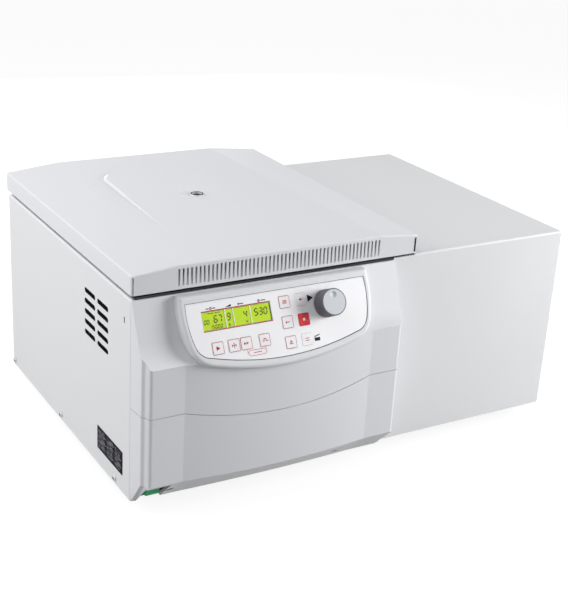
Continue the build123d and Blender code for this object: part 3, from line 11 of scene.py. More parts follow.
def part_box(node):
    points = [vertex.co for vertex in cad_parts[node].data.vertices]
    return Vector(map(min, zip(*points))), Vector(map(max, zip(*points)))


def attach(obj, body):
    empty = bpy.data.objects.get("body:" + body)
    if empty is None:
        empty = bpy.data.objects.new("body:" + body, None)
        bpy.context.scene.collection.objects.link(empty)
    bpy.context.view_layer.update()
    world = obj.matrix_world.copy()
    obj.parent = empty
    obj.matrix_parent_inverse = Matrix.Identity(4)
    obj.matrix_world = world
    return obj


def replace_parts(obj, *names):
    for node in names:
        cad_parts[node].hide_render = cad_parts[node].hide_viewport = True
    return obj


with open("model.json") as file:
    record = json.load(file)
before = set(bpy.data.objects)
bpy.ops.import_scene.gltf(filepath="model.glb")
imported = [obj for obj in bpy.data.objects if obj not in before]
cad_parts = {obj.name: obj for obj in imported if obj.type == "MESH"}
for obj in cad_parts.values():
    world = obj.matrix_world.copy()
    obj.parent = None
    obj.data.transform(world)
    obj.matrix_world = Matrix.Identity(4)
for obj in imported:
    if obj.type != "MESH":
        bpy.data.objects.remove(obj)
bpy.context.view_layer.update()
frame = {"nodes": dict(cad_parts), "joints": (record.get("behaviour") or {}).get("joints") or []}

# ---- places taken from the frame --------------------------------------------------------------
MM = 0.001
JOINTS = {joint["name"]: joint for joint in frame["joints"]}
CASING_LOW, CASING_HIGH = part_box("main_casing")
COVER_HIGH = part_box("refrigeration_cover")[1]
LID_LOW, LID_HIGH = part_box("lid_shell")
ROTOR_AXIS = Vector(JOINTS["rotor_spin"]["pos_m"])
LEFT, RIGHT, FRONT, BACK, DOWN, UP = (
    Vector(way) for way in ((-1, 0, 0), (1, 0, 0), (0, -1, 0), (0, 1, 0), (0, 0, -1), (0, 0, 1)))
PRINT_T = 0.08 * MM        # thickness of screen-printed ink
LIFT = 0.02 * MM           # air under a print, so that two faces never lie in one plane


# ---- materials --------------------------------------------------------------------------------
# Moulding grain, film texture and brushing are really 0.1 to 0.5 mm across, too fine to show, so the
# sizes given to grain, straight_strokes and turned_strokes are coarser, 0.7 to 1.6 mm.
def linear(hex_code):
    """Linear RGBA of an sRGB hex colour."""
    channels = [int(hex_code[i:i + 2], 16) / 255 for i in (0, 2, 4)]
    return [c / 12.92 if c <= 0.04045 else ((c + 0.055) / 1.055) ** 2.4 for c in channels] + [1.0]


def add(tree, kind, inputs=None, **settings):
    """Adds a node, sets its properties, and fills or links its inputs."""
    made = tree.nodes.new(kind)
    for name, value in settings.items():
        setattr(made, name, value)
    for name, value in (inputs or {}).items():
        if isinstance(value, bpy.types.NodeSocket):
            tree.links.new(value, made.inputs[name])
        else:
            made.inputs[name].default_value = value
    return made


def blank_material(name, colour, roughness, metallic=0.0, **inputs):
    """A material, its tree, its shader and the piece's own coordinates."""
    material = bpy.data.materials.new(name)
    material.use_nodes = True
    material.diffuse_color = linear(colour)
    tree = material.node_tree
    tree.nodes.clear()
    values = {"Base Color": linear(colour), "Roughness": roughness, "Metallic": metallic}
    values.update({key.replace("_", " "): value for key, value in inputs.items()})
    shader = add(tree, "ShaderNodeBsdfPrincipled", values)
    add(tree, "ShaderNodeOutputMaterial", {"Surface": shader.outputs["BSDF"]})
    place = add(tree, "ShaderNodeTexCoord").outputs["Object"]
    return material, tree, shader, place


def mottle(tree, shader, place, size, colours, gloss):
    """Slow change of tint and gloss over patches about size metres across."""
    noise = add(tree, "ShaderNodeTexNoise", {"Vector": place, "Scale": 1 / size, "Detail": 3.0})
    patches = noise.outputs["Fac"]
    tint = add(tree, "ShaderNodeMix", {"Factor": patches, "A": linear(colours[0]), "B": linear(colours[1])},
               data_type="RGBA")
    rough = add(tree, "ShaderNodeMapRange", {"Value": patches, "From Min": 0.3, "From Max": 0.7,
                                             "To Min": gloss[0], "To Max": gloss[1]})
    tree.links.new(tint.outputs[2], shader.inputs["Base Color"])
    tree.links.new(rough.outputs["Result"], shader.inputs["Roughness"])


def grain(tree, shader, place, size, depth, strength=0.4):
    """Fine relief of lumps about size metres across and depth metres deep."""
    lumps = add(tree, "ShaderNodeTexNoise", {"Vector": place, "Scale": 1 / size, "Detail": 2.0})
    bump = add(tree, "ShaderNodeBump", {"Height": lumps.outputs["Fac"], "Distance": depth,
                                        "Strength": strength})
    tree.links.new(bump.outputs["Normal"], shader.inputs["Normal"])


def brushing(tree, shader, strokes, depth, gloss):
    """Relief and gloss of fine parallel strokes, from coordinates that are stretched along them."""
    lines = add(tree, "ShaderNodeTexNoise", {"Vector": strokes, "Scale": 1.0, "Detail": 4.0}).outputs["Fac"]
    bump = add(tree, "ShaderNodeBump", {"Height": lines, "Distance": depth, "Strength": 0.3})
    rough = add(tree, "ShaderNodeMapRange", {"Value": lines, "From Min": 0.3, "From Max": 0.7,
                                             "To Min": gloss[0], "To Max": gloss[1]})
    tree.links.new(bump.outputs["Normal"], shader.inputs["Normal"])
    tree.links.new(rough.outputs["Result"], shader.inputs["Roughness"])


def straight_strokes(tree, place, length, width, along="X"):
    """Coordinates for strokes of the given length and width that run along one axis."""
    scale = {axis: 1 / width for axis in "XYZ"}
    scale[along] = 1 / length
    return add(tree, "ShaderNodeMapping", {"Vector": place, "Scale": tuple(scale.values())}).outputs["Vector"]


def turned_strokes(tree, place, centre, width):
    """Coordinates for strokes that run in circles round an upright axis."""
    centred = add(tree, "ShaderNodeMapping", {"Vector": place, "Location": (-centre.x, -centre.y, 0)})
    parts = add(tree, "ShaderNodeSeparateXYZ", {"Vector": centred.outputs["Vector"]})
    level = add(tree, "ShaderNodeCombineXYZ", {"X": parts.outputs["X"], "Y": parts.outputs["Y"]})
    radius = add(tree, "ShaderNodeVectorMath", {0: level.outputs["Vector"]}, operation="LENGTH")
    lines = add(tree, "ShaderNodeCombineXYZ", {"X": radius.outputs["Value"], "Z": parts.outputs["Z"]})
    return add(tree, "ShaderNodeVectorMath", {0: lines.outputs["Vector"], 1: (1 / width,) * 3},
               operation="MULTIPLY").outputs["Vector"]


def powder_coated_steel():
    """Sheet steel under baked polyester powder: an even satin skin with faint orange peel.

    The real peel is about 1 mm across, too fine to show, so it is drawn 3 mm across.
    """
    material, tree, shader, place = blank_material("powder_coated_steel", "DCDDDF", 0.42)
    mottle(tree, shader, place, 0.16, ("DADBDD", "DFE0E2"), (0.38, 0.46))
    grain(tree, shader, place, 3.0 * MM, 0.04 * MM, 0.25)
    return material


def grained_abs(name, colour, low, high):
    """Injection-moulded ABS from a spark-eroded mould: a soft satin with a fine even grain."""
    material, tree, shader, place = blank_material(name, colour, 0.45)
    mottle(tree, shader, place, 0.2, (low, high), (0.42, 0.5))
    grain(tree, shader, place, 1.6 * MM, 0.03 * MM, 0.3)
    return material


SLOT_SHADE = (1.4 * MM, 4.6 * MM)     # where the slots' painted shade starts and is full, behind the strip's face


def slotted_abs():
    """Grained ABS of the grille strip with painted shade: darker the deeper it lies, where fine slots gather
    shade.
    """
    material, tree, shader, place = blank_material("slotted_abs", "DCDDE1", 0.46)
    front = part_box("lid_front_grille")[0].y
    depth = add(tree, "ShaderNodeSeparateXYZ", {"Vector": place}).outputs["Y"]
    shade = add(tree, "ShaderNodeMapRange", {"Value": depth, "From Min": front + SLOT_SHADE[0],
                                             "From Max": front + SLOT_SHADE[1]})
    tint = add(tree, "ShaderNodeMix", {"Factor": shade.outputs["Result"], "A": linear("DCDDE1"),
                                       "B": linear("3E3F43")}, data_type="RGBA")
    tree.links.new(tint.outputs[2], shader.inputs["Base Color"])
    grain(tree, shader, place, 1.6 * MM, 0.03 * MM, 0.3)
    return material


def printed_foil():
    """White polyester keypad foil, printed from behind: bright, flat and faintly glossy."""
    material, tree, shader, place = blank_material("printed_foil", "FAFAFD", 0.3)
    mottle(tree, shader, place, 0.05, ("F8F8FC", "FCFCFE"), (0.27, 0.34))
    grain(tree, shader, place, 0.9 * MM, 0.01 * MM, 0.2)
    return material


def key_foil(name, colour, low, high):
    """Embossed foil over a key: the same film, polished a little by fingertips."""
    material, tree, shader, place = blank_material(name, colour, 0.28)
    mottle(tree, shader, place, 0.012, (low, high), (0.22, 0.34))
    grain(tree, shader, place, 0.9 * MM, 0.01 * MM, 0.2)
    return material


def printing_ink(name, colour):
    """Screen-printed ink: a thin flat layer, duller than the film under it."""
    material, tree, shader, place = blank_material(name, colour, 0.5, Specular_IOR_Level=0.15)
    grain(tree, shader, place, 0.5 * MM, 0.01 * MM, 0.2)
    return material


def lit_display():
    """Liquid crystal panel over a yellow-green backlight, brightest in the middle."""
    material, tree, shader, place = blank_material("lit_display", "A6C80C", 0.5, Specular_IOR_Level=0.1,
                                                   Emission_Color=linear("B0C210"), Emission_Strength=0.4)
    mottle(tree, shader, place, 0.03, ("A1C308", "ADCF12"), (0.45, 0.55))
    return material


def liquid_crystal():
    """Darkened liquid crystal: near-black segments with a trace of the green behind them."""
    material, tree, shader, place = blank_material("liquid_crystal", "141A08", 0.5, Specular_IOR_Level=0.2)
    mottle(tree, shader, place, 0.004, ("111707", "1A210C"), (0.45, 0.55))
    return material


def clear_pane(name, colour, body):
    """Acrylic or glass pane, wiped clean: it shows what is behind it, and a thin reflection."""
    material, tree, shader, place = blank_material(name, colour, 0.06, Alpha=body, Specular_IOR_Level=0.1)
    smears = add(tree, "ShaderNodeTexNoise", {"Vector": place, "Scale": 1 / (8 * MM)})
    rough = add(tree, "ShaderNodeMapRange", {"Value": smears.outputs["Fac"], "To Min": 0.03, "To Max": 0.1})
    tree.links.new(rough.outputs["Result"], shader.inputs["Roughness"])
    return material


def drawn_stainless():
    """Deep-drawn stainless steel, brushed in circles on the spinning bowl."""
    material, tree, shader, place = blank_material("drawn_stainless", "C9CBCC", 0.3, 1.0)
    brushing(tree, shader, turned_strokes(tree, place, ROTOR_AXIS, 1.4 * MM), 0.02 * MM, (0.24, 0.38))
    return material


def brushed_stainless():
    """Stainless sheet with straight brushing from the mill, left to right."""
    material, tree, shader, place = blank_material("brushed_stainless", "CFD1D2", 0.32, 1.0)
    brushing(tree, shader, straight_strokes(tree, place, 40 * MM, 0.8 * MM), 0.02 * MM, (0.26, 0.4))
    return material


def zinc_plate():
    """Bright zinc plate on pressed steel: bluish grey with slow patches in its lustre."""
    material, tree, shader, place = blank_material("zinc_plate", "AEB2B7", 0.58, 1.0)
    mottle(tree, shader, place, 0.012, ("A3A8AF", "BABDC1"), (0.52, 0.64))
    grain(tree, shader, place, 0.8 * MM, 0.02 * MM, 0.2)
    return material


def anodised_aluminium():
    """Turned aluminium under a natural anodic film: pale, silky, with faint tool rings."""
    material, tree, shader, place = blank_material("anodised_aluminium", "C2C5C9", 0.36, 1.0)
    brushing(tree, shader, turned_strokes(tree, place, ROTOR_AXIS, 1.0 * MM), 0.015 * MM, (0.32, 0.42))
    return material


def moulded_rubber(name, colour, low, high):
    """Moulded rubber: dull, with a dusty bloom and a fine pitted skin."""
    material, tree, shader, place = blank_material(name, colour, 0.75)
    mottle(tree, shader, place, 0.015, (low, high), (0.68, 0.85))
    grain(tree, shader, place, 0.7 * MM, 0.05 * MM, 0.4)
    return material


def closed_cell_foam():
    """Black foam rubber round the bowl: a dull skin of closed cells about 1.6 mm across."""
    material, tree, shader, place = blank_material("closed_cell_foam", "1C1C1D", 0.9)
    mottle(tree, shader, place, 0.02, ("191919", "222223"), (0.84, 0.94))
    cells = add(tree, "ShaderNodeTexVoronoi", {"Vector": place, "Scale": 1 / (1.6 * MM)})
    bump = add(tree, "ShaderNodeBump", {"Height": cells.outputs["Distance"], "Distance": 0.3 * MM,
                                        "Strength": 0.5})
    tree.links.new(bump.outputs["Normal"], shader.inputs["Normal"])
    return material


def circuit_board():
    """Glass-epoxy board under green solder mask, with the copper tracks just showing as lighter lines."""
    material, tree, shader, place = blank_material("circuit_board", "14502A", 0.35)
    tracks = add(tree, "ShaderNodeTexBrick", {"Vector": place, "Scale": 1 / (9 * MM), "Mortar Size": 0.04,
                                              "Color1": linear("134C28"), "Color2": linear("175A30"),
                                              "Mortar": linear("2A7A45")})
    tree.links.new(tracks.outputs["Color"], shader.inputs["Base Color"])
    return material


def stove_enamel():
    """Black stove enamel on a pressed can: thick, glossy and a little wavy."""
    material, tree, shader, place = blank_material("stove_enamel", "101112", 0.28)
    mottle(tree, shader, place, 0.03, ("0D0E0F", "17181A"), (0.22, 0.36))
    grain(tree, shader, place, 4.0 * MM, 0.06 * MM, 0.3)
    return material


def painted_casting():
    """Sand-cast iron under grey machine paint: the sand's roughness shows through."""
    material, tree, shader, place = blank_material("painted_casting", "4B4F54", 0.5)
    mottle(tree, shader, place, 0.03, ("45494E", "53575C"), (0.42, 0.58))
    grain(tree, shader, place, 1.5 * MM, 0.15 * MM, 0.5)
    return material


def black_moulding():
    """Glass-filled nylon: near black, dull, with a fine grain."""
    material, tree, shader, place = blank_material("black_moulding", "17181A", 0.5)
    mottle(tree, shader, place, 0.03, ("141516", "1D1E20"), (0.44, 0.58))
    grain(tree, shader, place, 0.9 * MM, 0.03 * MM, 0.3)
    return material


def knob_rubberised():
    """Dark grey soft-touch moulding of the knob's skirt, worn a little shinier in patches."""
    material, tree, shader, place = blank_material("knob_rubberised", "55545A", 0.5)
    mottle(tree, shader, place, 0.01, ("4E4D53", "5D5C63"), (0.42, 0.58))
    grain(tree, shader, place, 0.8 * MM, 0.03 * MM, 0.3)
    return material


def drawn_copper():
    """Drawn copper tube, browned where it was brazed and handled."""
    material, tree, shader, place = blank_material("drawn_copper", "C37A55", 0.32, 1.0)
    mottle(tree, shader, place, 0.02, ("A9643F", "CF8A64"), (0.24, 0.44))
    return material


def green_polypropylene():
    """Green polypropylene of the pull-out tray: waxy, with a soft gloss."""
    material, tree, shader, place = blank_material("green_polypropylene", "33AA6A", 0.42)
    mottle(tree, shader, place, 0.02, ("2EA263", "3BB373"), (0.36, 0.48))
    grain(tree, shader, place, 1.2 * MM, 0.03 * MM, 0.3)
    return material


def black_shade_finish():
    """Flat black for painted shade: it swallows nearly all light."""
    material, tree, shader, place = blank_material("black_shade_finish", "0A0A0B", 0.95, Specular_IOR_Level=0.03)
    grain(tree, shader, place, 0.8 * MM, 0.1 * MM, 0.6)
    return material


def dark_plate():
    """Lacquered rating plate: near black with a cool tint, dulled by fine rolling lines."""
    material, tree, shader, place = blank_material("dark_plate", "0C0D11", 0.5, Specular_IOR_Level=0.04)
    brushing(tree, shader, straight_strokes(tree, place, 30 * MM, 0.8 * MM, "Z"), 0.01 * MM, (0.52, 0.64))
    return material


MATERIALS = {
    "sheet": powder_coated_steel(),
    "moulding": grained_abs("grained_abs", "DCDDE1", "DADBDF", "DFE0E3"),
    "grille": slotted_abs(),
    # dark grey deck, darkened further as painted shade in the gap under the lid's front edge
    "deck": grained_abs("grained_abs_dark", "1B1C1E", "18191B", "202123"),
    "cap": grained_abs("grained_abs_cap", "CBCFD5", "C7CBD1", "D0D4DA"),
    "foil": printed_foil(),
    "white_key": key_foil("key_foil_white", "F8F8FB", "F5F5F9", "FBFBFD"),
    "red_key": key_foil("key_foil_red", "DC1A24", "D4141E", "E4222C"),
    "red_ink": printing_ink("red_ink", "BE232D"),
    "grey_ink": printing_ink("grey_ink", "8E8A92"),
    "black_ink": printing_ink("black_ink", "0E0F11"),
    "white_ink": printing_ink("white_ink", "F1F1F3"),
    "display": lit_display(),
    "crystal": liquid_crystal(),
    "window": clear_pane("acrylic_window", "EAF4D8", 0.03),
    "glass": clear_pane("tinted_glass", "23282B", 0.45),
    "bowl_steel": drawn_stainless(),
    "stainless": brushed_stainless(),
    "zinc": zinc_plate(),
    "alloy": anodised_aluminium(),
    "rubber": moulded_rubber("black_rubber", "1B1B1C", "171718", "262627"),
    "silicone": moulded_rubber("grey_silicone", "5A5B5E", "545558", "636467"),
    "foam": closed_cell_foam(),
    "board": circuit_board(),
    "enamel": stove_enamel(),
    "casting": painted_casting(),
    "black": black_moulding(),
    "knob": knob_rubberised(),
    "copper": drawn_copper(),
    "green": green_polypropylene(),
    # flat black that stands for shade: painted shade in the vents and in the side screws' sockets
    "painted_shade": black_shade_finish(),
    "plate": dark_plate(),
}

NODE_FINISH = {
    # base_plate in black enamel: a plausible coat, chosen dark as painted shade in the tray's notch
    "base_plate": "enamel", "rubber_feet": "rubber", "main_casing": "sheet", "top_deck": "deck",
    "front_panel_upper": "moulding", "front_panel_lower": "moulding", "casing_screws": "zinc",
    "keypad_overlay": "foil", "display_window": "window", "display_module": "display",
    "control_board": "board", "encoder": "zinc", "encoder_shaft": "zinc", "control_knob": "knob",
    "knob_cap": "cap", "chamber_bowl": "bowl_steel", "bowl_floor": "bowl_steel",
    "chamber_gasket": "silicone", "cooling_coil": "copper", "bowl_insulation": "foam",
    "motor_body": "casting", "vibration_mounts": "rubber", "motor_shaft": "stainless",
    "rotor_yoke": "alloy", "trunnion_pins": "stainless", "rotor_nut": "stainless",
    "plate_bucket_left": "alloy", "plate_bucket_right": "alloy", "lid_shell": "moulding",
    "lid_front_grille": "grille", "lid_inner_plate": "stainless", "port_ring": "moulding",
    "port_glass": "glass", "lid_strikers": "zinc", "hinge_arms": "zinc", "hinge_brackets": "zinc",
    "hinge_pins": "stainless", "lock_frame": "zinc", "lock_bar": "zinc", "mains_inlet": "black",
    "switch_frame": "black", "power_rocker": "black", "drive_module": "alloy", "drip_tray": "green",
    "refrigeration_cover": "sheet", "compressor": "enamel", "condenser": "alloy", "fan_frame": "black",
    "fan_blades": "black", "copper_pipes": "copper",
}
KEYS = sorted(node for node in frame["nodes"] if node.startswith("key_"))
NODE_FINISH.update({key: "red_key" if key == "key_stop" else "white_key" for key in KEYS})


def finish_nodes():
    """Gives every CAD node its finish."""
    for node, finish in NODE_FINISH.items():
        materials = frame["nodes"][node].data.materials
        materials.clear()
        materials.append(MATERIALS[finish])


# ---- flat pieces ------------------------------------------------------------------------------
def plane_at(origin, across, normal):
    """Places a flat drawing: its X along across, its Z along normal."""
    up = normal.cross(across)
    turn = Matrix((across, up, normal)).transposed().to_4x4()
    return Matrix.Translation(origin) @ turn


def mesh_of(name, form, place=Matrix()):
    """Plain mesh of a drawn form, moved to its place."""
    mesh = bpy.data.meshes.new(name)
    form.to_mesh(mesh)
    form.free()
    mesh.transform(place)
    return mesh


def piece(name, mesh, finish, body):
    """Finished piece that moves with a body."""
    made = bpy.data.objects.new(name, mesh)
    bpy.context.scene.collection.objects.link(made)
    mesh.materials.clear()
    mesh.materials.append(MATERIALS[finish])
    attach(made, body)


def loop(form, outline, height):
    """Corners of an outline at one height."""
    return [form.verts.new((x, y, height)) for x, y in outline]


def skin(form, lower, upper):
    """Wall between two loops with equal numbers of corners."""
    for i in range(len(lower)):
        j = (i + 1) % len(lower)
        form.faces.new((lower[i], lower[j], upper[j], upper[i]))


def prism(form, outline, low, high):
    """Closed prism over one outline, which runs anticlockwise."""
    base, roof = loop(form, outline, low), loop(form, outline, high)
    form.faces.new(list(reversed(base)))
    form.faces.new(roof)
    skin(form, base, roof)


def frame_prism(form, outer, inner, low, high):
    """Closed frame between two outlines with equal numbers of corners."""
    loops = [loop(form, outline, height)
             for outline, height in ((outer, low), (outer, high), (inner, high), (inner, low))]
    for here, there in zip(loops, loops[1:] + loops[:1]):
        skin(form, here, there)


def bar(x, y, width, height):
    """Outline of a plain rectangle, anticlockwise."""
    return [(x - width / 2, y - height / 2), (x + width / 2, y - height / 2),
            (x + width / 2, y + height / 2), (x - width / 2, y + height / 2)]


def arrow(x, y, size, way=1):
    """Outline of a triangle that points right, or left where way is -1."""
    back, tip = x - way * size / 2, x + way * size / 2
    return [(back, y - size / 2), (tip, y), (back, y + size / 2)][::way]


def rounded(width, height, radius, centre=(0.0, 0.0), steps=5):
    """Outline of a rectangle with round corners, anticlockwise."""
    points = []
    for quarter, (sx, sy) in enumerate(((1, 1), (-1, 1), (-1, -1), (1, -1))):
        for i in range(steps + 1):
            turn = math.radians(90 * (quarter + i / steps))
            points.append((centre[0] + sx * (width / 2 - radius) + radius * math.cos(turn),
                           centre[1] + sy * (height / 2 - radius) + radius * math.sin(turn)))
    return points


def circle(radius, steps, x=0.0, y=0.0):
    """Outline of a circle in straight steps, anticlockwise."""
    turns = [2 * math.pi * i / steps for i in range(steps)]
    return [(x + radius * math.cos(turn), y + radius * math.sin(turn)) for turn in turns]


def ring(x, y, radius, width, steps=20):
    """Outer and inner outline of a ring."""
    return [circle(r, steps, x, y) for r in (radius, radius - width)]


def grown(outline, distance):
    """Convex anticlockwise outline with every side moved out by a distance."""
    points = [Vector(point) for point in outline]
    moved = []
    for before, here, after in zip(points[-1:] + points, points, points[1:] + points[:1]):
        come, go = (here - before).normalized(), (after - here).normalized()
        way = Vector((come.y + go.y, -come.x - go.x)).normalized()
        moved.append(tuple(here + way * distance / max(0.3, way.dot(Vector((go.y, -go.x))))))
    return moved


def scaled(points):
    """Points in millimetres as metres."""
    return [(x * MM, y * MM) for x, y in points]


def printed(name, outlines, place, finish, body, rims=()):
    """Thin ink on a plane: filled outlines, and rims between two outlines, in millimetres."""
    form = bmesh.new()
    for outline in outlines:
        prism(form, scaled(outline), LIFT, LIFT + PRINT_T)
    for outer, inner in rims:
        frame_prism(form, scaled(outer), scaled(inner), LIFT, LIFT + PRINT_T)
    piece(name, mesh_of(name, form, place), finish, body)


# ---- console: sizes on its face are in millimetres from its middle -----------------------------
FACE_NORMAL = Vector(JOINTS["knob_turn"]["axis"]).normalized()
UP_FACE = FACE_NORMAL.cross(RIGHT)
KNOB_AXIS = Vector(JOINTS["knob_turn"]["pos_m"])
KNOB_UP = 16.2 * MM        # the knob's axis above the middle of the console
PANEL_MID = sum(corner.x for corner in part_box("front_panel_upper")) / 2
CONSOLE_MID = KNOB_AXIS - RIGHT * (KNOB_AXIS.x - PANEL_MID) - UP_FACE * KNOB_UP
FOIL_DEPTH = 0.7 * MM      # the foil's outer face lies this far below the console's rim
CRYSTAL_DEPTH = 1.3 * MM - LIFT - PRINT_T     # printed on the display, just behind its window

KEY_SYMBOLS = {            # plain symbols about the middle of each key
    "key_start": [arrow(0.3, 0, 5.6)],
    "key_stop": [bar(0, 0, 3.4, 3.4)],
    "key_pulse": [bar(-2.6, -1.2, 2.6, 0.9), bar(-1.3, 0.3, 0.9, 3.9), bar(0.4, 1.8, 2.6, 0.9),
                  bar(1.7, 0.3, 0.9, 3.9), bar(3.4, -1.2, 2.6, 0.9)],
    "key_fast_cool": [bar(0, 0, 6.4, 0.9), bar(0, 2.2, 0.9, 3.0), bar(0, -2.2, 0.9, 3.0),
                      bar(2.6, 0, 0.9, 3.0), bar(-2.6, 0, 0.9, 3.0)],
    "key_prerun": [arrow(-1.8, 0, 3.6), arrow(1.8, 0, 3.6)],
    "key_clear": [bar(0, 1.7, 6.0, 1.0), bar(0, 0, 6.0, 1.0), bar(0, -1.7, 6.0, 1.0)],
    "key_exit": [arrow(-1.6, 0, 3.8, -1), bar(1.6, 0, 3.4, 1.0)],
    "key_select": [bar(0, 0, 6.4, 1.0), bar(-2.2, 0, 1.2, 3.0)],
    "key_save": [bar(0, -2.0, 5.6, 1.0), bar(0, 1.2, 1.0, 3.6), bar(-1.4, 0.2, 1.6, 1.0),
                 bar(1.4, 0.2, 1.6, 1.0)],
    "key_open": [bar(0, -1.6, 5.8, 1.0), bar(0, 1.4, 5.8, 1.0)],
}
UNFRAMED_KEYS = ("key_exit", "key_open", "key_stop")
KEY_FRAME = ((0.5, 1.4), (1.5, 0.9))     # outer and inner edge: narrower than the key by, corner radius

SEGMENTS = {"a": (0, 2, 0), "b": (1, 1, 1), "c": (1, -1, 1), "d": (0, -2, 0), "e": (-1, -1, 1),
            "f": (-1, 1, 1), "g": (0, 0, 0)}     # column, row, and 1 for an upright one
DIGITS = {"0": "abcdef", "1": "bc", "2": "abged", "3": "abgcd", "4": "fgbc", "5": "afgcd", "6": "afgecd",
          "7": "abc", "8": "abcdefg", "9": "abcdfg"}
DISPLAY_FIGURES = (        # figures, middle of the first one, height and pitch
    ("67", -95.6, 20.2, 8.6, 6.4), ("9", -76.6, 20.6, 8.6, 6.4), ("4", -52.4, 20.6, 8.2, 6.4),
    ("530", -36.6, 20.6, 8.6, 7.0), ("00", -111.0, 17.8, 5.4, 4.2), ("15000", -103.6, 10.6, 4.6, 3.8),
    ("8", -77.0, 10.2, 3.4, 3.8), ("4", -51.6, 10.4, 4.4, 3.8),
)
WINDOW_X = (-115.0, -14.0)
WINDOW_Y = (6.1, 31.5)
DISPLAY_BARS = [           # colon of the time, labels over the speed, and a painted shadow at the window's right end
    bar(-33.1, 22.4, 1.0, 1.0), bar(-33.4, 18.6, 1.0, 1.0), bar(-104, 28.4, 3.6, 0.9),
    bar(-99.4, 28.4, 3.6, 0.9), bar(-94, 28.4, 3.6, 0.9), bar(-89.4, 28.4, 3.6, 0.9),
    # painted shadow at the right end of the display window
    bar(WINDOW_X[1] - 1.6, sum(WINDOW_Y) / 2, 1.2, WINDOW_Y[1] - WINDOW_Y[0] - 2.4),
]
DIVIDERS_X = (-81.4, -69.6, -44.9)
FIELDS_X = (-100.5, -75.5, -57.5, -30.5)     # speed, ramp, temperature and time
FIELDS_Y = 34.6
KNOB_MARKER = [(42.4, 22.0), (51.2, 27.1), (42.4, 32.2)]
LID_SYMBOL = [bar(47.2, -28.6, 8.4, 4.6), [(43.0, -25.6), (51.4, -23.4), (51.4, -22.2), (43.0, -24.4)]]
KEY_GROUP_MID = (-44.2, -31.0)
KEY_GROUP_RIM = [rounded(27.0, 7.8, 3.8, KEY_GROUP_MID), rounded(25.8, 6.6, 3.2, KEY_GROUP_MID)]
KEY_GROUP_LINES = [bar(*KEY_GROUP_MID, 12.0, 1.0), bar(-58.4, -28.3, 0.6, 5.0), bar(-31.1, -26.3, 0.6, 1.6)]
GROOVE_SHADE_REACH = (0.92 * MM, 0.08 * MM)      # outer and inner edge of the black strip of painted shade, outside the foil's edge
GROOVE_SHADE_HEIGHT = (-2.1 * MM, -0.95 * MM)    # its underside and its top from the console's rim
GROOVE_SHADE_STEP = 0.4 * MM                     # corners of the foil nearer than this count as one


def on_console(depth):
    """Plane parallel to the console's face, depth below its rim, centred on the console."""
    return plane_at(CONSOLE_MID - FACE_NORMAL * depth, RIGHT, FACE_NORMAL)


def key_face(key):
    """Plane on a key's outer face, centred on the key, and the key's width in millimetres."""
    low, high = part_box(key)
    centre = (low + high) / 2
    rise = max((v.co - centre).dot(FACE_NORMAL) for v in frame["nodes"][key].data.vertices)
    return plane_at(centre + FACE_NORMAL * rise, RIGHT, FACE_NORMAL), (high.x - low.x) / MM


def key_prints():
    """Symbol on every key, and a thin frame round most of them."""
    for key in KEYS:
        place, width = key_face(key)
        ink = "white_ink" if key == "key_stop" else "red_ink"
        printed(f"{key}_symbol", KEY_SYMBOLS[key], place, ink, key)
        if key not in UNFRAMED_KEYS:
            rim = [rounded(width - less, width - less, radius) for less, radius in KEY_FRAME]
            printed(f"{key}_frame", [], place, "red_ink", key, rims=[rim])


def digit(figure, x, y, height):
    """Outlines of the lit segments of a seven-segment figure about (x, y), leaning to the right."""
    half, thick, lean = height / 4, height * 0.085, 0.14
    reach = half * 0.86
    outlines = []
    for column, row, upright in (SEGMENTS[segment] for segment in DIGITS[figure]):
        tips = [(-reach, 0), (-reach + thick, -thick), (reach - thick, -thick),
                (reach, 0), (reach - thick, thick), (-reach + thick, thick)]
        if upright:
            tips = [(-b, a) for a, b in tips]
        moved = [(column * half + a, row * half + b) for a, b in tips]
        outlines.append([(x + a + lean * b, y + b) for a, b in moved])
    return outlines


def display_content():
    """Figures of the liquid crystal display, all plain numbers."""
    outlines = []
    for figures, x, y, height, pitch in DISPLAY_FIGURES:
        for i, figure in enumerate(figures):
            outlines += digit(figure, x + i * pitch, y, height)
    printed("display_figures", outlines + DISPLAY_BARS, on_console(CRYSTAL_DEPTH), "crystal", "housing")


def foil_prints():
    """Printing on the keypad foil: display borders and dividers, knob marker, lid symbol and key group."""
    place = on_console(FOIL_DEPTH)
    middle, width = sum(WINDOW_X) / 2, WINDOW_X[1] - WINDOW_X[0]
    borders = [bar(middle, WINDOW_Y[1] + 0.2, width, 1.1), bar(middle, WINDOW_Y[0] - 0.2, width, 1.1)]
    dividers = [bar(x, sum(WINDOW_Y) / 2, 1.3, WINDOW_Y[1] - WINDOW_Y[0] - 1.6) for x in DIVIDERS_X]
    printed("display_borders", borders, place, "red_ink", "housing")
    printed("display_dividers", dividers, place, "white_ink", "housing")
    printed("console_marks", [KNOB_MARKER, *LID_SYMBOL], place, "black_ink", "housing")
    printed("key_group_outline", KEY_GROUP_LINES, place, "red_ink", "housing", rims=[KEY_GROUP_RIM])


def field_symbols():
    """Plain symbols over the fields of the display: speed, ramp, temperature and time."""
    y = FIELDS_Y
    speed, ramp, heat, time = FIELDS_X
    marks = [bar(speed, y + 0.4, 0.7, 1.9), bar(speed - 4.7, y, 4.0, 1.2), bar(speed + 4.7, y, 4.0, 1.2),
             [(ramp - 4.4, y - 1.4), (ramp + 4.4, y - 1.4), (ramp + 4.4, y + 1.6)],
             bar(heat + 1.5, y, 6.0, 1.2), bar(heat - 2.8, y, 2.0, 2.4),
             bar(time, y + 0.5, 0.7, 1.5), bar(time + 0.6, y, 1.4, 0.7), bar(time + 6.4, y, 7.0, 1.2)]
    printed("field_symbols", marks, on_console(FOIL_DEPTH), "black_ink", "housing",
            rims=[ring(speed, y, 1.9, 0.75), ring(time, y, 1.9, 0.75)])


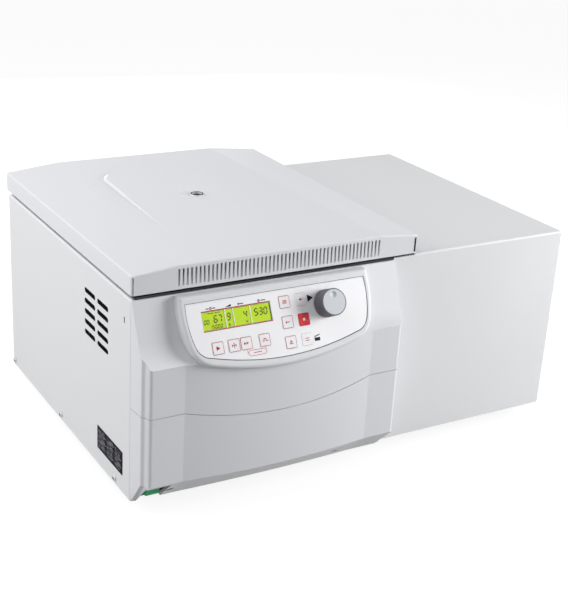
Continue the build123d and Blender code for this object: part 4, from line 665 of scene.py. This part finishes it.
def foil_seal():
    """Black strip in the groove round the keypad foil: painted shade of the groove, in the black rubber
    finish.
    """
    place = on_console(0.0)
    flat = place.inverted()
    corners = [(flat @ v.co).to_2d() for v in frame["nodes"]["keypad_overlay"].data.vertices]
    edge = []
    for index in convex_hull_2d(corners):
        if not edge or (corners[index] - edge[-1]).length > GROOVE_SHADE_STEP:
            edge.append(corners[index])
    form = bmesh.new()
    frame_prism(form, *(grown(edge, reach) for reach in GROOVE_SHADE_REACH), *GROOVE_SHADE_HEIGHT)
    bmesh.ops.recalc_face_normals(form, faces=form.faces)
    piece("foil_seal", mesh_of("foil_seal", form, place), "rubber", "housing")


# ---- walls and lid: sizes in millimetres -------------------------------------------------------
PLATE_PLACE = (24.0, 25.5)     # from the casing's front and lower edges
PLATE_SIZE = (87.5, 35.0)
PLATE_T = 0.4 * MM
PLATE_ROWS = 11
PLATE_ROW_ONE, PLATE_ROW_PITCH = 4.6, 2.6
PLATE_COLUMNS = ((4, 30), (34, 58), (62, 83.5))
PLATE_BARS = (1.1, 0.35)       # heights of a thick and a thin bar, which take turns
PLATE_GAP = 1.4                # between the two bars of a row in one column
VENT_SIZE = (37.9, 7.5)        # black sheets of painted shade in the left wall's vents
VENT_Y = (138.0, 93.0)         # middles of the two columns, from the lid's front
VENT_DOWN = 41.5               # middle of the top row, below the casing's top edge
VENT_ROWS, VENT_PITCH = 5, 15.3
SHEET_SHADE_DEPTH = 0.5 * MM         # the black sheet's face behind the wall's, and its own thickness
SHEET_SHADE_T = 1.4 * MM
CORNER_SLOT = (2.2, 21.0)      # painted shade of a slot by the lid's right front corner: width and height
CORNER_SLOT_AT = (4.2, 12.8)   # its middle from the lid's right side and from its lower edge
PORT_SEAL_R = (7.6, 9.7)       # inner and outer radius of the seal on the port, and its thickness
PORT_SEAL_T = 0.3 * MM


def rating_plate():
    """Dark plate on the left wall, with blank entry bars in place of lettering."""
    width, height = PLATE_SIZE
    place = plane_at(Vector((CASING_LOW.x, CASING_LOW.y + (PLATE_PLACE[0] + width) * MM,
                             CASING_LOW.z + PLATE_PLACE[1] * MM)), FRONT, LEFT)
    form = bmesh.new()
    prism(form, scaled(rounded(width, height, 1.5, (width / 2, height / 2))), 0.0, PLATE_T)
    piece("rating_plate", mesh_of("rating_plate", form, place), "plate", "housing")
    bars = []
    for row in range(PLATE_ROWS):
        y = PLATE_ROW_ONE + row * PLATE_ROW_PITCH
        for column, (left, right) in enumerate(PLATE_COLUMNS):
            step = (5 * row + 3 * column) % 4     # makes the bars differ in length
            cut, end = left + (right - left) * (0.3 + 0.12 * step), right - 2.0 * step
            first, second = PLATE_BARS if (row + column) % 3 == 0 else PLATE_BARS[::-1]
            bars.append(bar((left + cut - PLATE_GAP) / 2, y, cut - PLATE_GAP - left, first))
            bars.append(bar((cut + end) / 2, y, end - cut, second))
    above = place @ Matrix.Translation((0, 0, PLATE_T))
    printed("rating_plate_rules", bars, above, "grey_ink", "housing")


def vent_inserts():
    """Black sheets of painted shade that fill the vents of the left wall, just below its surface."""
    length, width = (side * MM for side in VENT_SIZE)
    painted_shade = prism_template("vent_insert", rounded(width, length, width / 2 - 0.01 * MM), -SHEET_SHADE_T, 0.0)
    heights = [CASING_HIGH.z - (VENT_DOWN + row * VENT_PITCH) * MM for row in range(VENT_ROWS)]
    seats = [((CASING_LOW.x + SHEET_SHADE_DEPTH, LID_LOW.y + y * MM, z), LEFT) for y in VENT_Y for z in heights]
    repeated("vent_inserts", painted_shade, seats, "painted_shade", "housing", turn=0.0)


def port_seal():
    """Flat rubber seal on the lip of the viewing port."""
    low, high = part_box("port_ring")
    place = Matrix.Translation(((low.x + high.x) / 2, (low.y + high.y) / 2, high.z))
    inner, outer = (scaled(circle(radius, 48)) for radius in PORT_SEAL_R)
    form = bmesh.new()
    frame_prism(form, outer, inner, LIFT, PORT_SEAL_T)
    bmesh.ops.recalc_face_normals(form, faces=form.faces)
    piece("port_seal", mesh_of("port_seal", form, place), "rubber", "lid")


def lid_corner_slot():
    """Black ink painted as the shade of a narrow slot beside the corner, where the grille strip ends short of
    the lid's side wall.
    """
    corner = Vector((LID_HIGH.x - CORNER_SLOT_AT[0] * MM, LID_LOW.y, LID_LOW.z + CORNER_SLOT_AT[1] * MM))
    place = plane_at(corner, RIGHT, FRONT)
    printed("lid_corner_slot", [rounded(*CORNER_SLOT, 1.0)], place, "black_ink", "lid")


# ---- repeated pieces --------------------------------------------------------------------------
def prism_template(name, outline, low, high):
    """Prism about its own axis, from an outline in metres."""
    form = bmesh.new()
    prism(form, outline, low, high)
    return bpy.data.objects.new(name, mesh_of(name, form))


def cross_recess(radius):
    """Outline of the cross in a screw head of this radius."""
    arm, half = radius * 0.45, radius * 0.11
    points = [(arm, -half), (arm, half), (half, half)]
    for quarter in range(3):
        points += [(-y, x) for x, y in points[-3:]]
    return points


def screw_template(name, radius, height, recess):
    """Pan head about its own axis with its seat at the origin, sunk at the recess's outline."""
    facets = 16
    form = bmesh.new()
    profile = ((1.0, 0.0), (1.0, 0.45), (0.8, 0.85), (0.62, 1.0))     # shares of radius and height
    loops = [loop(form, circle(radius * out, facets), height * up) for out, up in profile]
    for lower, upper in zip(loops, loops[1:]):
        skin(form, lower, upper)
    form.faces.new(list(reversed(loops[0])))
    rim, mouth = loops[-1], loop(form, recess, height)
    pit = loop(form, [(x * 0.8, y * 0.8) for x, y in recess], height * 0.4)
    edges = [form.edges.new(pair) for pair in zip(mouth, mouth[1:] + mouth[:1])]
    edges += [form.edges.get(pair) for pair in zip(rim, rim[1:] + rim[:1])]
    bmesh.ops.triangle_fill(form, edges=edges, use_beauty=True)
    skin(form, mouth, pit)
    form.faces.new(pit)
    bmesh.ops.recalc_face_normals(form, faces=form.faces)
    return bpy.data.objects.new(name, mesh_of(name, form))


def pattern_tree():
    """Geometry Nodes: a copy of one template on every point, its own Z along the point's facing.

    Each copy is also turned about that line by a chance angle, up to Turn.
    """
    tree = bpy.data.node_groups.new("repeated_pattern", "GeometryNodeTree")
    for name, kind in (("Points", "NodeSocketGeometry"), ("Template", "NodeSocketObject"),
                       ("Turn", "NodeSocketFloat"), ("Finish", "NodeSocketMaterial"),
                       ("Seed", "NodeSocketInt")):
        tree.interface.new_socket(name, in_out="INPUT", socket_type=kind)
    tree.interface.new_socket("Copies", in_out="OUTPUT", socket_type="NodeSocketGeometry")
    given = add(tree, "NodeGroupInput").outputs
    template = add(tree, "GeometryNodeObjectInfo", {"Object": given["Template"]})
    facing = add(tree, "GeometryNodeInputNamedAttribute", {"Name": "facing"}, data_type="FLOAT_VECTOR")
    upright = add(tree, "FunctionNodeAlignRotationToVector", {"Vector": facing.outputs["Attribute"]},
                  axis="Z")
    chance = add(tree, "FunctionNodeRandomValue", {"Max": given["Turn"], "Seed": given["Seed"]},
                 data_type="FLOAT")
    spin = add(tree, "FunctionNodeAxisAngleToRotation", {"Axis": (0, 0, 1), "Angle": chance.outputs[1]})
    turn = add(tree, "FunctionNodeRotateRotation", {"Rotation": upright.outputs["Rotation"],
                                                    "Rotate By": spin.outputs["Rotation"]},
               rotation_space="LOCAL")
    placed = add(tree, "GeometryNodeInstanceOnPoints", {"Points": given["Points"],
                                                        "Instance": template.outputs["Geometry"],
                                                        "Rotation": turn.outputs["Rotation"]})
    real = add(tree, "GeometryNodeRealizeInstances", {"Geometry": placed.outputs["Instances"]})
    coloured = add(tree, "GeometryNodeSetMaterial", {"Geometry": real.outputs["Geometry"],
                                                     "Material": given["Finish"]})
    add(tree, "NodeGroupOutput", {"Copies": coloured.outputs["Geometry"]})
    return tree


def modifier_input(tree, name):
    """Identifier of a tree's named input."""
    return next(item.identifier for item in tree.interface.items_tree
                if item.name == name and item.in_out == "INPUT")


def settle(made):
    """Turns a piece's live modifiers into a plain mesh."""
    evaluated = made.evaluated_get(bpy.context.evaluated_depsgraph_get())
    mesh = bpy.data.meshes.new_from_object(evaluated)
    made.modifiers.clear()
    made.data = mesh


def repeated(name, template, seats, finish, body, turn=2 * math.pi, seed=1):
    """One piece of like copies: seats are pairs of a place and the way that the copy faces there."""
    mesh = bpy.data.meshes.new(name)
    mesh.from_pydata([tuple(place) for place, facing in seats], [], [])
    ways = mesh.attributes.new("facing", "FLOAT_VECTOR", "POINT")
    for item, (place, facing) in zip(ways.data, seats):
        item.vector = facing
    made = bpy.data.objects.new(name, mesh)
    bpy.context.scene.collection.objects.link(made)
    pattern = made.modifiers.new("pattern", "NODES")
    pattern.node_group = PATTERN
    for key, value in (("Template", template), ("Turn", turn), ("Finish", MATERIALS[finish]), ("Seed", seed)):
        pattern[modifier_input(PATTERN, key)] = value
    settle(made)
    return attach(made, body)


PATTERN = pattern_tree()
SIDE_SCREW = screw_template("socket_screw", 4.4 * MM, 2.6 * MM, circle(2.3 * MM, 6))
# black prism in each hexagon socket: painted shade in the recess
SIDE_SOCKET_SHADE = prism_template("socket_filling", circle(2.15 * MM, 6), 1.0 * MM, 2.5 * MM)
SCREW = screw_template("pan_head_screw", 4.0 * MM, 2.0 * MM, cross_recess(4.0 * MM))
SMALL_SCREW = screw_template("small_pan_head_screw", 2.9 * MM, 1.7 * MM, cross_recess(2.9 * MM))

CASING_SCREWS_Y = (50.0, 254.0, 464.0)     # from the casing's front edge, in millimetres
COVER_SCREWS_Y = (50.0, 254.0, 444.0)
SIDE_SCREW_UP = 8.5 * MM                   # above the casing's lower edge
REAR_SCREW_UP = 12.5 * MM
REAR_INSET = 14 * MM                       # of the rear screws from a panel's other edges
BRACKET_W = 51 * MM                        # hinge bracket: width, and how far its plate stands out
BRACKET_OUT = 4 * MM
BRACKET_SCREW_UP = 14 * MM                 # above the bracket's lower edge, and to the side of its middle
BRACKET_SCREW_ASIDE = 17 * MM
DECK_INSET = 16 * MM                       # of the screws from the deck's edges
LINING_INSET = (8 * MM, 48 * MM, 32 * MM)  # from the lining's sides, front and rear


def casing_fixings():
    """Screws that hold the casing and the cover, on the left, right and rear."""
    front, z = CASING_LOW.y, CASING_LOW.z + SIDE_SCREW_UP
    seats = [((CASING_LOW.x, front + y * MM, z), LEFT) for y in CASING_SCREWS_Y]
    seats += [((COVER_HIGH.x, front + y * MM, z), RIGHT) for y in COVER_SCREWS_Y]
    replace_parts(repeated("side_screws", SIDE_SCREW, seats, "zinc", "housing"), "casing_screws")
    # painted shade in the sockets of the side screws
    repeated("side_screw_sockets", SIDE_SOCKET_SHADE, seats, "painted_shade", "housing")
    low, top = CASING_LOW.z + REAR_SCREW_UP, COVER_HIGH.z - REAR_INSET
    left, seam, right = CASING_LOW.x, CASING_HIGH.x, COVER_HIGH.x
    xs = (seam + REAR_INSET, (seam + right) / 2, right - REAR_INSET)
    seats = [((x, COVER_HIGH.y, z), BACK) for x in xs for z in (low, top)]
    repeated("cover_rear_screws", SCREW, seats, "zinc", "housing", seed=3)
    xs = (left + REAR_INSET, left + 0.45 * (seam - left), seam - REAR_INSET)
    seats = [((x, CASING_HIGH.y, low), BACK) for x in xs]
    repeated("casing_rear_screws", SCREW, seats, "zinc", "housing", seed=4)


def hinge_fixings():
    """Two screws through the plate of each hinge bracket."""
    low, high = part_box("hinge_brackets")
    middles = (low.x + BRACKET_W / 2, high.x - BRACKET_W / 2)
    y, z = CASING_HIGH.y + BRACKET_OUT, low.z + BRACKET_SCREW_UP
    seats = [((x + side * BRACKET_SCREW_ASIDE, y, z), BACK) for x in middles for side in (-1, 1)]
    repeated("hinge_screws", SMALL_SCREW, seats, "zinc", "housing", seed=5)


def deck_fixings():
    """Low screws in the corners of the deck and along the edge of the lid's lining."""
    low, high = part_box("top_deck")
    seats = [((x, y, high.z), UP) for x in (low.x + DECK_INSET, high.x - DECK_INSET)
             for y in (low.y + DECK_INSET, high.y - DECK_INSET)]
    repeated("deck_screws", SMALL_SCREW, seats, "stainless", "housing", seed=6)
    low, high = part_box("lid_inner_plate")
    side, front, rear = LINING_INSET
    seats = [((x, y, low.z), DOWN) for x in (low.x + side, high.x - side)
             for y in (low.y + front, (low.y + high.y) / 2, high.y - rear)]
    repeated("lining_screws", SMALL_SCREW, seats, "stainless", "lid", seed=7)


def condenser_fins():
    """Fine aluminium fins across the tubes of the condenser, between its headers."""
    low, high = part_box("condenser")
    header, foot, rim = 18 * MM, 22 * MM, 1.5 * MM
    thick, pitch = 0.3 * MM, 2.4 * MM
    width, height = high.x - low.x - 2 * rim, high.z - low.z - foot - rim
    x, z = (low.x + high.x) / 2, low.z + foot + height / 2
    fin = prism_template("condenser_fin", bar(0, 0, width, thick), -height / 2, height / 2)
    count = int((high.y - low.y - 2 * header) / pitch)
    seats = [((x, low.y + header + (i + 0.5) * pitch, z), UP) for i in range(count)]
    repeated("condenser_fins", fin, seats, "alloy", "housing", turn=0.0)


# ---- mains rocker -----------------------------------------------------------------------------
ROCKER_HOLLOW_R = 20.4         # radius of the rocker's hollow face, in millimetres
ROCKER_HOLLOW_AT = 22.0        # its centre behind the rear wall
ROCKER_REST = math.radians(6.0)
ROCKER_MARKS = (               # name, outlines, rims and height from the switch's middle
    ("rocker_off_mark", [], [ring(0, 0, 2.1, 0.6)], 6.0),
    ("rocker_on_mark", [bar(0, 0, 0.7, 4.2)], [], -6.0),
)


def rocker_marks():
    """Ring and bar on the two halves of the mains rocker."""
    low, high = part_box("switch_frame")
    middle = Vector(((low.x + high.x) / 2, CASING_HIGH.y, (low.z + high.z) / 2))
    pivot = Vector(JOINTS["power_rocker_tilt"]["pos_m"])
    tip = Matrix.Translation(pivot) @ Matrix.Rotation(ROCKER_REST, 4, "X") @ Matrix.Translation(-pivot)
    for name, outlines, rims, z in ROCKER_MARKS:
        reach = math.sqrt(ROCKER_HOLLOW_R ** 2 - z ** 2)
        origin = middle + Vector((0, (ROCKER_HOLLOW_AT - reach) * MM, z * MM))
        place = tip @ plane_at(origin, LEFT, Vector((0, reach, -z)).normalized())
        printed(name, outlines, place, "white_ink", "rocker", rims=rims)


# ---- studio -----------------------------------------------------------------------------------
CAMERA_AZIMUTH, CAMERA_ELEVATION, CAMERA_ROLL = (math.radians(a) for a in (-31.37, 22.0, 3.39))
CAMERA_AT = Vector((-0.9267, -1.51005, 0.8911))
LENS = 73.23
LAMP_AIM = Vector((0, 0, 0.15))     # the lamps point at the middle of the machine
AMBIENT = 0.165            # strength of the light from all round
FLOOR_GLOW = 0.86          # brings the bench top up to the white round it
LAMPS = (                  # name, place, width and height in metres, power in watts
    ("light_right", (1.75, -1.25, 0.82), (1.1, 1.1), 49.0),
    ("light_front", (-0.4, -2.3, 1.0), (1.4, 1.4), 6.5),
    ("light_left", (-2.1, 0.25, 1.1), (1.4, 1.4), 27.0),
    ("light_top", (-1.1, 0.6, 1.9), (1.4, 1.4), 19.0),
    ("light_back", (0.4, 2.4, 0.25), (1.6, 0.4), 22.0),
)


def camera():
    """Camera at the front left, a little above the lid."""
    back = Vector((math.sin(CAMERA_AZIMUTH) * math.cos(CAMERA_ELEVATION),
                   -math.cos(CAMERA_AZIMUTH) * math.cos(CAMERA_ELEVATION), math.sin(CAMERA_ELEVATION)))
    right = (-back).cross(UP).normalized()
    up = right.cross(-back)
    turned_right = math.cos(CAMERA_ROLL) * right + math.sin(CAMERA_ROLL) * up
    turned_up = -math.sin(CAMERA_ROLL) * right + math.cos(CAMERA_ROLL) * up
    data = bpy.data.cameras.new("camera")
    data.lens = LENS
    made = bpy.data.objects.new("camera", data)
    bpy.context.scene.collection.objects.link(made)
    made.matrix_world = Matrix.Translation(CAMERA_AT) @ Matrix(
        (turned_right, turned_up, back)).transposed().to_4x4()
    bpy.context.scene.camera = made


def soft_box(name, place, size, power):
    """Rectangular area lamp aimed at the middle of the machine."""
    data = bpy.data.lights.new(name, "AREA")
    data.shape = "RECTANGLE"
    data.size, data.size_y = size
    data.energy = power
    made = bpy.data.objects.new(name, data)
    bpy.context.scene.collection.objects.link(made)
    made.location = place
    made.rotation_euler = (LAMP_AIM - Vector(place)).to_track_quat("-Z", "Y").to_euler()


def seen_ray(tree):
    """One for camera, mirror and glass rays, else nought."""
    path = add(tree, "ShaderNodeLightPath").outputs
    first = add(tree, "ShaderNodeMath", {0: path["Is Camera Ray"], 1: path["Is Glossy Ray"]},
                operation="MAXIMUM")
    return add(tree, "ShaderNodeMath", {0: first.outputs["Value"], 1: path["Is Transmission Ray"]},
               operation="MAXIMUM").outputs["Value"]


def surroundings():
    """Soft even light from all round, seen as plain white."""
    world = bpy.data.worlds.new("studio")
    bpy.context.scene.world = world
    world.use_nodes = True
    tree = world.node_tree
    tree.nodes.clear()
    lit = add(tree, "ShaderNodeBackground", {"Color": linear("FFFFFF"), "Strength": AMBIENT})
    seen = add(tree, "ShaderNodeBackground", {"Color": linear("FFFFFF"), "Strength": 1.0})
    either = add(tree, "ShaderNodeMixShader", {"Fac": seen_ray(tree), 1: lit.outputs["Background"],
                                               2: seen.outputs["Background"]})
    add(tree, "ShaderNodeOutputWorld", {"Surface": either.outputs["Shader"]})


def floor():
    """Bench top that the machine stands on: seen as white, yet throwing little light back up."""
    material, tree, shader, place = blank_material("pale_floor", "7A7A7A", 0.9)
    glow = add(tree, "ShaderNodeMath", {0: seen_ray(tree), 1: FLOOR_GLOW}, operation="MULTIPLY")
    shader.inputs["Emission Color"].default_value = linear("FFFFFF")
    tree.links.new(glow.outputs["Value"], shader.inputs["Emission Strength"])
    mesh = bpy.data.meshes.new("floor")
    reach = 12.0
    corners = [(-reach, -reach, 0), (reach, -reach, 0), (reach, reach, 0), (-reach, reach, 0)]
    mesh.from_pydata(corners, [], [(0, 1, 2, 3)])
    mesh.materials.append(material)
    made = bpy.data.objects.new("floor", mesh)
    bpy.context.scene.collection.objects.link(made)


def studio():
    """Camera, light and bench top."""
    bpy.context.scene.view_settings.view_transform = "Standard"
    camera()
    surroundings()
    floor()
    for name, place, size, power in LAMPS:
        soft_box(name, place, size, power)


# ---- making -----------------------------------------------------------------------------------
studio()
finish_nodes()
key_prints()
display_content()
foil_prints()
field_symbols()
foil_seal()
rating_plate()
vent_inserts()
port_seal()
lid_corner_slot()
casing_fixings()
hinge_fixings()
deck_fixings()
condenser_fins()
rocker_marks()
